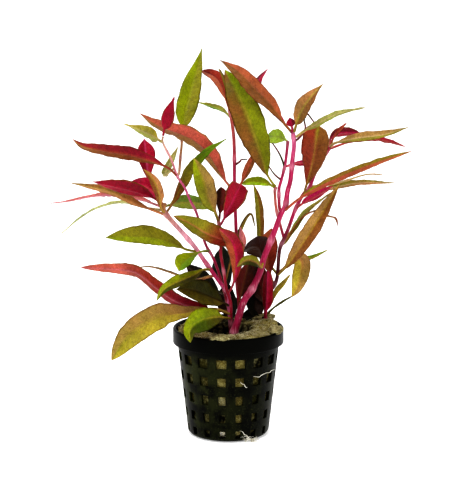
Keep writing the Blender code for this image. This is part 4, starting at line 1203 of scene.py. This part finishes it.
def wool_rings():
    """Radius and height of each ring of the wool, with no height on top, where its lumps give it."""
    side_height = WOOL_TOP_Z - WOOL_EDGE_DROP - WOOL_FOOT_Z
    levels = [WOOL_FOOT_Z + side_height * i / WOOL_LEVELS for i in range(WOOL_LEVELS + 1)]
    rings = [(WOOL_FOOT_RADIUS * share, WOOL_FOOT_Z) for share in WOOL_UNDERSIDE_RINGS]
    rings += [(min(wool_radius(z), WOOL_FOOT_RADIUS + (z - WOOL_FOOT_Z)), z) for z in levels]
    width = WOOL_RIM_RADIUS - WELL_MOUTH_RADIUS
    rings += [(WOOL_RIM_RADIUS - width * i / WOOL_TOP_RINGS, None) for i in range(1, WOOL_TOP_RINGS + 1)]
    lip_out, lip_up = WELL_LIP
    rings += [(WELL_FLOOR_RADIUS + lip_out, (WELL_FLOOR_Z + WOOL_TOP_Z) / 2 + lip_up)]
    rings += [(WELL_FLOOR_RADIUS, WELL_FLOOR_Z + WELL_FLOOR_EDGE)]
    return rings + [(WELL_FLOOR_RADIUS * share, WELL_FLOOR_Z) for share in WELL_FLOOR_RINGS]


def make_wool(material):
    verts = []
    tones = []
    rings = wool_rings()
    for radius, z in rings:
        for i in range(WOOL_AROUND):
            turn = math.tau * i / WOOL_AROUND
            x = radius * math.cos(turn)
            y = radius * math.sin(turn)
            height = wool_top(x, y) if z is None else z
            rough = noise.fractal(Vector((x, y, height)) * WOOL_ROUGHNESS, 0.8, 2.1, 5)
            if z is None:
                height += rough * WOOL_RUFFLE * smooth_step(0, 2.5, WOOL_RIM_RADIUS - radius)
                push = 0
            else:
                push = -abs(rough) * WOOL_PITS
            verts.append(Vector((x * (1 + push / radius), y * (1 + push / radius), height)))
            tones.append(wool_shade(x, y, height))
    count = len(verts)
    faces = bands(len(rings), WOOL_AROUND) + fans(WOOL_AROUND, count - WOOL_AROUND, count)
    for z in (WOOL_FOOT_Z, WELL_FLOOR_Z):
        verts.append(Vector((0, 0, z)))
        tones.append(wool_shade(0, 0, z))
    add_piece("rockwool_matting", verts, faces, material, ("rockwool_plug",), tones)


def make_wool_fibres(material):
    """Loose fibres over the wool's top, round the patch of painted shade by the stems."""
    draw = random.Random(7)
    verts = []
    faces = []
    spans = FIBRE_POINTS - 1
    for _ in range(FIBRE_COUNT):
        radius = draw.uniform(WELL_MOUTH_RADIUS, WOOL_RIM_RADIUS - GAP)
        turn = draw.uniform(0, math.tau)
        x = radius * math.cos(turn)
        y = radius * math.sin(turn)
        heading = draw.uniform(0, math.tau)
        length = draw.uniform(*FIBRE_LENGTHS)
        points = []
        for step in range(FIBRE_POINTS):
            heading += draw.uniform(-FIBRE_WANDER, FIBRE_WANDER)
            x += math.cos(heading) * length / spans * (step > 0)
            y += math.sin(heading) * length / spans * (step > 0)
            if math.hypot(x, y) > WOOL_RIM_RADIUS:
                x *= 0.97
                y *= 0.97
            arch = FIBRE_ARCH * math.sin(math.pi * (step / spans)) * draw.uniform(0.2, 1)
            points.append(Vector((x, y, wool_top(x, y) + FIBRE_LIFT + arch)))
        if stem_shade_share(points[0].x, points[0].y) > FIBRE_LEAST_STEM_SHADE_SHARE:
            tube(points, [FIBRE_RADIUS] * FIBRE_POINTS, THREAD_SIDES, verts, faces)
    add_piece("rockwool_fibres", verts, faces, material)


def make_tuft(name, centre, half_sizes, material, seed):
    """A flattened lump of loose wool that lies over the pot's rim."""
    verts = []
    tones = []
    for ring in range(TUFT_RINGS + 1):
        tilt = math.pi * (0.02 + 0.96 * ring / TUFT_RINGS)
        for i in range(TUFT_AROUND):
            turn = math.tau * i / TUFT_AROUND
            way = Vector((math.sin(tilt) * math.cos(turn), math.sin(tilt) * math.sin(turn), math.cos(tilt)))
            lump = 1 + TUFT_LUMPS * noise.fractal(way * 1.9 + Vector((seed, 0, 0)), 0.8, 2.2, 5)
            place = Vector([centre[k] + way[k] * half_sizes[k] * lump for k in range(3)])
            verts.append(place)
            tones.append(TUFT_PALE * (0.82 + 0.5 * noise.noise(place * 0.9)))
    faces = bands(TUFT_RINGS + 1, TUFT_AROUND) + caps(0, TUFT_RINGS * TUFT_AROUND, TUFT_AROUND)
    faces = [tuple(reversed(face)) for face in faces]
    add_piece(name, verts, faces, material, tones=tones)


# Roots and twigs

def on_pot(across, up):
    """The point on the pot's outer wall, or on the ground before it, that the eye sees at this place."""
    near = sighted(across, up, POT_FRONT)
    for _ in range(4):
        radius = wall_radius(max(near.z, POT_BASE_Z)) + ROOT_CLEARANCE
        back = -math.sqrt(max(radius**2 - near.x**2, 1.0))
        near = sighted(across, up, back)
    for _ in range(3):
        if near.z < ROOT_REST:
            back -= (ROOT_REST - near.z) * GROUND_SLIDE
            near = sighted(across, up, back)
    return near


def make_roots(material):
    verts = []
    faces = []
    for route in ROOTS:
        line = smooth_line([on_pot(*place) for place in route])
        spans = len(line) - 1
        shape = [math.sin(math.pi * (0.08 + 0.84 * i / spans)) ** 0.5 for i in range(spans + 1)]
        tube(line, [ROOT_WIDTH / 2 * share for share in shape], ROOT_SIDES, verts, faces)
    draw = random.Random(11)
    for _ in range(FUZZ_THREADS):
        across = draw.uniform(*FUZZ_ACROSS)
        up = draw.uniform(*FUZZ_UP)
        places = []
        for _ in range(FUZZ_POINTS):
            across += draw.uniform(*FUZZ_STRAY_ACROSS)
            up = max(FUZZ_LOWEST, min(FUZZ_HIGHEST, up + draw.uniform(*FUZZ_STRAY_UP)))
            places.append(on_pot(across, up))
        line = smooth_line(places, FUZZ_STEPS)
        tube(line, [FUZZ_RADIUS] * len(line), THREAD_SIDES, verts, faces)
    add_piece("pale_roots", verts, faces, material)


def make_twigs(material):
    verts = []
    faces = []
    for route in TWIGS:
        line = smooth_line([sighted(*place) for place in route], TWIG_STEPS)
        spans = len(line) - 1
        radii = [TWIG_WIDTH / 2 * (1 - TWIG_TAPER * i / spans) for i in range(spans + 1)]
        tube(line, radii, TWIG_SIDES, verts, faces)
    maroon = colour_of("maroon")
    olive = colour_of("dark_olive")
    tones = [maroon.lerp(olive, smooth_step(-0.3, 0.3, noise.noise(vert * 0.3))) for vert in verts]
    add_piece("thin_twigs", verts, faces, material, tones=tones)


# Stems

def rooted_line(name):
    """The stem's middle line, from inside the wool where it doesn't grow from another stem."""
    line = stem_line(name)
    if name in FORKS:
        return line
    foot = line[0]
    in_well = math.hypot(foot.x, foot.y) < WELL_FLOOR_RADIUS
    foot_z = WELL_FLOOR_Z + GAP if in_well else wool_top(foot.x, foot.y) - STEM_SINK
    return [Vector((foot.x, foot.y, foot_z)), *(point for point in line if point.z > foot_z + 0.5)]


def make_stem(name, material):
    foot_width, top_width, tones, nodes_at, *_ = STEMS[name]
    tones = tones.split()
    line = rooted_line(name)
    rings = max(STEM_LEAST_RINGS, round(length_of(line) / STEM_STEP))
    points = along(line, [i / rings for i in range(rings + 1)])
    node_colour = colour_of("pale_rose")
    radii = []
    shades = []
    for index, point in enumerate(points):
        share = index / rings
        swell = min(sum(bell((share - at) * rings * STEM_STEP, NODE_LENGTH) for at in nodes_at), 1.0)
        radius = (foot_width + (top_width - foot_width) * share) / 2
        uneven = STEM_UNEVENNESS * noise.noise(point * 0.4)
        radii.append(radius * (STEM_SLIMNESS + NODE_SWELL * swell + uneven))
        shaded = tone_along(tones, share).lerp(node_colour, NODE_PALENESS * swell)
        for i in range(STEM_RING_POINTS):
            streak = noise.noise(Vector((i * 0.9, index * 0.12, len(name))))
            shades.append(shaded * (1 + STEM_STREAKS * streak))
    verts = []
    faces = []
    tube(points, radii, STEM_RING_POINTS, verts, faces)
    add_piece(name + "_skin", verts, faces, material, (name,), shades)


# Leaves

def leaf_half_width(name, share, width, widest):
    """Half the blade's width at this share of the leaf's length, never under the stalk's."""
    fall = max(TIP_SHARPNESS, LEAF_FULLNESS * (1 - widest))
    rise = LEAF_FULLNESS * widest
    if name in LEAF_TIPS:
        fall = LEAF_TIPS[name]
        rise = fall * widest / (1 - widest)
    blade = (share - STALK_SHARE) / (1 - STALK_SHARE)
    if blade <= 0:
        return STALK_WIDTH / 2
    breadth = (blade / widest) ** rise * ((1 - blade) / (1 - widest)) ** fall
    return max(width / 2 * breadth, STALK_WIDTH / 2 * min(1.0, (TIP_END - share) * TIP_CLOSING))


def leaf_frames(points, turn, middle):
    """At each point the direction along the midrib, and the one that the upper side faces."""
    aims = tangents(points)
    to_eye = (EYE - points[middle]).normalized()
    facing = (to_eye - aims[middle] * to_eye.dot(aims[middle])).normalized()
    facing = Matrix.Rotation(math.radians(turn), 3, aims[middle]) @ facing
    ups = [facing] * len(points)
    for i in range(middle + 1, len(points)):
        ups[i] = carried(ups[i - 1], aims[i - 1], aims[i])
    for i in range(middle - 1, -1, -1):
        ups[i] = carried(ups[i + 1], aims[i + 1], aims[i])
    return list(zip(aims, ups))


class Blade:
    """One leaf's shape and tones, with its own waves."""

    def __init__(self, name, entry, seed):
        self.name = name
        stem, self.colour, self.width, self.widest, turn, look, *route = entry
        self.tones, self.halves, rib, back = (part.split() for part in look.split("|"))
        self.rib = rib[0]
        self.back = back[0]
        self.seed = Vector((seed * 7.3, seed * 3.1, seed * 5.7))
        line = smooth_line([sighted(*place) for place in route])
        stem_points = stem_line(stem)
        radius = max(STEMS[stem][:2]) / 2
        start = clear_index(line, stem_points, radius + GAP + STALK_WIDTH / 2)
        inside = min(clear_index(line, stem_points, radius * STALK_SINK), start)
        shares = [i / (BLADE_STATIONS - 1) for i in range(BLADE_STATIONS)]
        self.length = length_of(line[start:])
        foot = along(line[inside:start + 1], STALK_FOOT_STATIONS) if start > inside else []
        self.points = foot + along(line[start:], shares)
        self.shares = [0.0] * len(foot) + shares
        middle = len(foot) + round(SOLID_MIDDLE * (BLADE_STATIONS - 1))
        self.frames = leaf_frames(self.points, turn, middle)
        self.seen_from_above = abs(turn) < 90

    def wave(self, x, y=0.0, z=0.0):
        """The leaf's own noise at this place."""
        return noise.noise(Vector((x, y, z)) + self.seed)

    def heights(self, share, half, across):
        """Heights of the upper and the lower skin over the midrib's line, in mm."""
        out = abs(across) * half
        fold = half * LEAF_FOLD * (FOLD_SLOPE * abs(across) - FOLD_BOW * across * across)
        along_mm = share * self.length
        sway = self.wave(along_mm * SWAY_RATE, across * SWAY_ACROSS)
        ripple = self.wave(along_mm * RIPPLE_RATE, 2.5 * (across > 0), 4)
        on_blade = smooth_step(STALK_SHARE * 0.8, STALK_SHARE * 2.2, share)
        waves = (sway + ripple * across * across) * MARGIN_WAVE
        wave = waves * min(half, WAVY_HALF_WIDTH) * abs(across) * on_blade
        puff = VEIN_PUFF * math.sin(math.tau * (along_mm - VEIN_SLOPE * out) / VEIN_SPACING) * on_blade
        middle = fold + wave + puff * min(out, 1.0)
        thick = BLADE_THICKNESS + (EDGE_THICKNESS - BLADE_THICKNESS) * abs(across)
        rib = RIB_DEPTH * (1 - RIB_FADE * share) * bell(out, RIB_HALF_WIDTH - RIB_NARROWING * share)
        stalk = (1 - on_blade) * STALK_THICKENING * max(0.0, 1 - across * across) ** 0.5
        upper = middle + thick / 2 + stalk + rib * (RIB_ON_STALK * (1 - on_blade) - RIB_GROOVE * on_blade)
        lower = middle - thick / 2 - stalk - rib
        return upper, lower

    def tone(self, share, half, across, place, above):
        """The skin's colour at this place."""
        rough = noise.fractal(place * TONE_ROUGHNESS + self.seed, 0.9, 2.0, 3)
        base = tone_along(self.tones, share)
        if above != self.seen_from_above:
            base = colour_of(self.back).lerp(base, BACK_TONE_SHARE)
        # A darker half, as on leaf_large_green, is painted shade on the half turned from the light
        elif self.halves:
            half_share = smooth_step(0.0, 0.25, abs(across)) * (0.8 + 0.35 * rough)
            base = base.lerp(colour_of(self.halves[across > 0]), clamped(half_share, HALF_TONE_MOST))
        rib_share = bell(abs(across) * half, RIB_TONE_WIDTH) * (RIB_TONE_ABOVE if above else RIB_TONE_BELOW)
        base = base.lerp(colour_of(self.rib), rib_share * (1 - 0.5 * share))
        edge = Vector([part * tint for part, tint in zip(base, EDGE_TINT)])
        base = base.lerp(edge, smooth_step(*EDGE_TONE_FADE, abs(across)) * EDGE_TONE)
        return base * (1 + TONE_CONTRAST * rough)

    def build(self, material, replaces):
        """Makes the leaf's piece: closed rings of points over its upper side and back below."""
        verts = []
        tones = []
        vein = []
        blade_shares = []
        steps = [i / BLADE_HALF_COLUMNS for i in range(-BLADE_HALF_COLUMNS, BLADE_HALF_COLUMNS + 1)]
        columns = [math.copysign(abs(step) ** COLUMN_BUNCHING, step) for step in steps]
        loop = [(across, True) for across in columns] + [(across, False) for across in columns[-2:0:-1]]
        for share, point, (aim, up) in zip(self.shares, self.points, self.frames):
            side = aim.cross(up)
            along_mm = share * self.length
            half = leaf_half_width(self.name, share, self.width, self.widest)
            half *= 1 + WIDTH_WAVE * self.wave(along_mm * WIDTH_RATE, 9)
            for across, above in loop:
                uneven = EDGE_WAVE * self.wave(along_mm * EDGE_RATE, 3 * (across > 0), 1)
                upper, lower = self.heights(share, half, across)
                height = (upper + lower) / 2 if abs(across) == 1 else (upper if above else lower)
                place = point + side * half * across * (1 + uneven) + up * height
                verts.append(place)
                tones.append(self.tone(share, half, across, place, above))
                out = abs(across) * half
                vein.append((along_mm - VEIN_SLOPE * out + VEIN_BOW * out * out + 50) / VEIN_SPACING)
                off_rib = smooth_step(*VEIN_FADE, out) * smooth_step(STALK_SHARE, STALK_SHARE * 2, share)
                blade_shares.append(off_rib * (1 - 0.7 * smooth_step(0.5, 1.0, abs(across))))
        ring = len(loop)
        rows = len(self.points)
        faces = bands(rows, ring) + caps(0, (rows - 1) * ring, ring)
        extras = {"vein": vein, "blade": blade_shares}
        add_piece(self.name + "_blade", verts, faces, material, replaces, tones, extras)


def make_leaves(material):
    for seed, (name, entry) in enumerate((LEAVES | SMALL_LEAVES).items()):
        Blade(name, entry, seed).build(material, (name,) if name in LEAVES else ())


# Stage

def add_floor():
    """A pale floor that rises behind the plant."""
    profile = [(FLOOR_FRONT, 0.0), (FLOOR_BEND, 0.0)]
    for turn in FLOOR_BEND_TURNS:
        rise = FLOOR_BEND_RADIUS - math.cos(turn) * FLOOR_BEND_RADIUS
        profile.append((FLOOR_BEND + math.sin(turn) * FLOOR_BEND_RADIUS, rise))
    profile.append((FLOOR_BEND + FLOOR_BEND_RADIUS, FLOOR_BACK_TOP))
    verts = [(x, y, z - FLOOR_DROP) for y, z in profile for x in (-FLOOR_HALF_WIDTH, FLOOR_HALF_WIDTH)]
    faces = [(2 * i, 2 * i + 1, 2 * i + 3, 2 * i + 2) for i in range(len(profile) - 1)]
    mesh = bpy.data.meshes.new("pale_floor")
    mesh.from_pydata(verts, [], faces)
    mesh.polygons.foreach_set("use_smooth", [True] * len(faces))
    nodes = Nodes("pale_paper", 0.9, 0.0)
    nodes.colour(PAPER)
    nodes.shader.inputs["Emission Color"].default_value = (1.0, 1.0, 1.0, 1.0)
    nodes.shader.inputs["Emission Strength"].default_value = PAPER_GLOW
    mesh.materials.append(nodes.material)
    add_object("pale_floor", mesh)


def add_light(name, place, aim_height, size, power):
    """A soft lamp that aims at the axis."""
    light = bpy.data.lights.new(name, "AREA")
    light.size = size
    light.energy = power
    lamp = add_object(name, light)
    lamp.location = place
    aim = Vector((0, 0, aim_height)) - Vector(place)
    lamp.rotation_euler = aim.to_track_quat("-Z", "Y").to_euler()


def make_stage():
    """The floor, the lamps, a white world and the contrast of the picture."""
    add_floor()
    for light in LIGHTS:
        add_light(*light)
    world = bpy.data.worlds.new("studio")
    world.use_nodes = True
    sky = world.node_tree.nodes["Background"]
    sky.inputs["Color"].default_value = (1.0, 1.0, 1.0, 1.0)
    sky.inputs["Strength"].default_value = WORLD_STRENGTH
    bpy.context.scene.world = world
    bpy.context.scene.view_settings.view_transform = "Standard"
    bpy.context.scene.view_settings.look = "High Contrast"


def make_camera():
    """The photograph's eye. The picture is higher than wide, so the sensor's width runs up it."""
    camera = bpy.data.cameras.new("camera")
    camera.sensor_width = SENSOR_HEIGHT
    camera.lens = PX_PER_MM * EYE_DISTANCE * SENSOR_HEIGHT / PHOTO_HEIGHT_PX
    camera.clip_start = 0.05
    eye = add_object("camera", camera)
    eye.location = EYE * MM
    eye.rotation_euler = (math.radians(90) - EYE_TURN_DOWN, 0, 0)
    bpy.context.scene.camera = eye


def main():
    make_camera()
    make_stage()
    make_pot(pot_material())
    wool = wool_material()
    make_wool(wool)
    for seed, tuft in enumerate(TUFTS):
        make_tuft(*tuft, wool, seed * 9)
    make_wool_fibres(thread_material("wool_fibre_skin", (0.34, 0.29, 0.13), (0.74, 0.68, 0.44)))
    make_roots(thread_material("root_skin", (0.60, 0.56, 0.44), (0.90, 0.88, 0.78)))
    stem = stem_material()
    for name in STEMS:
        make_stem(name, stem)
    make_twigs(stem)
    make_leaves(leaf_material())


main()
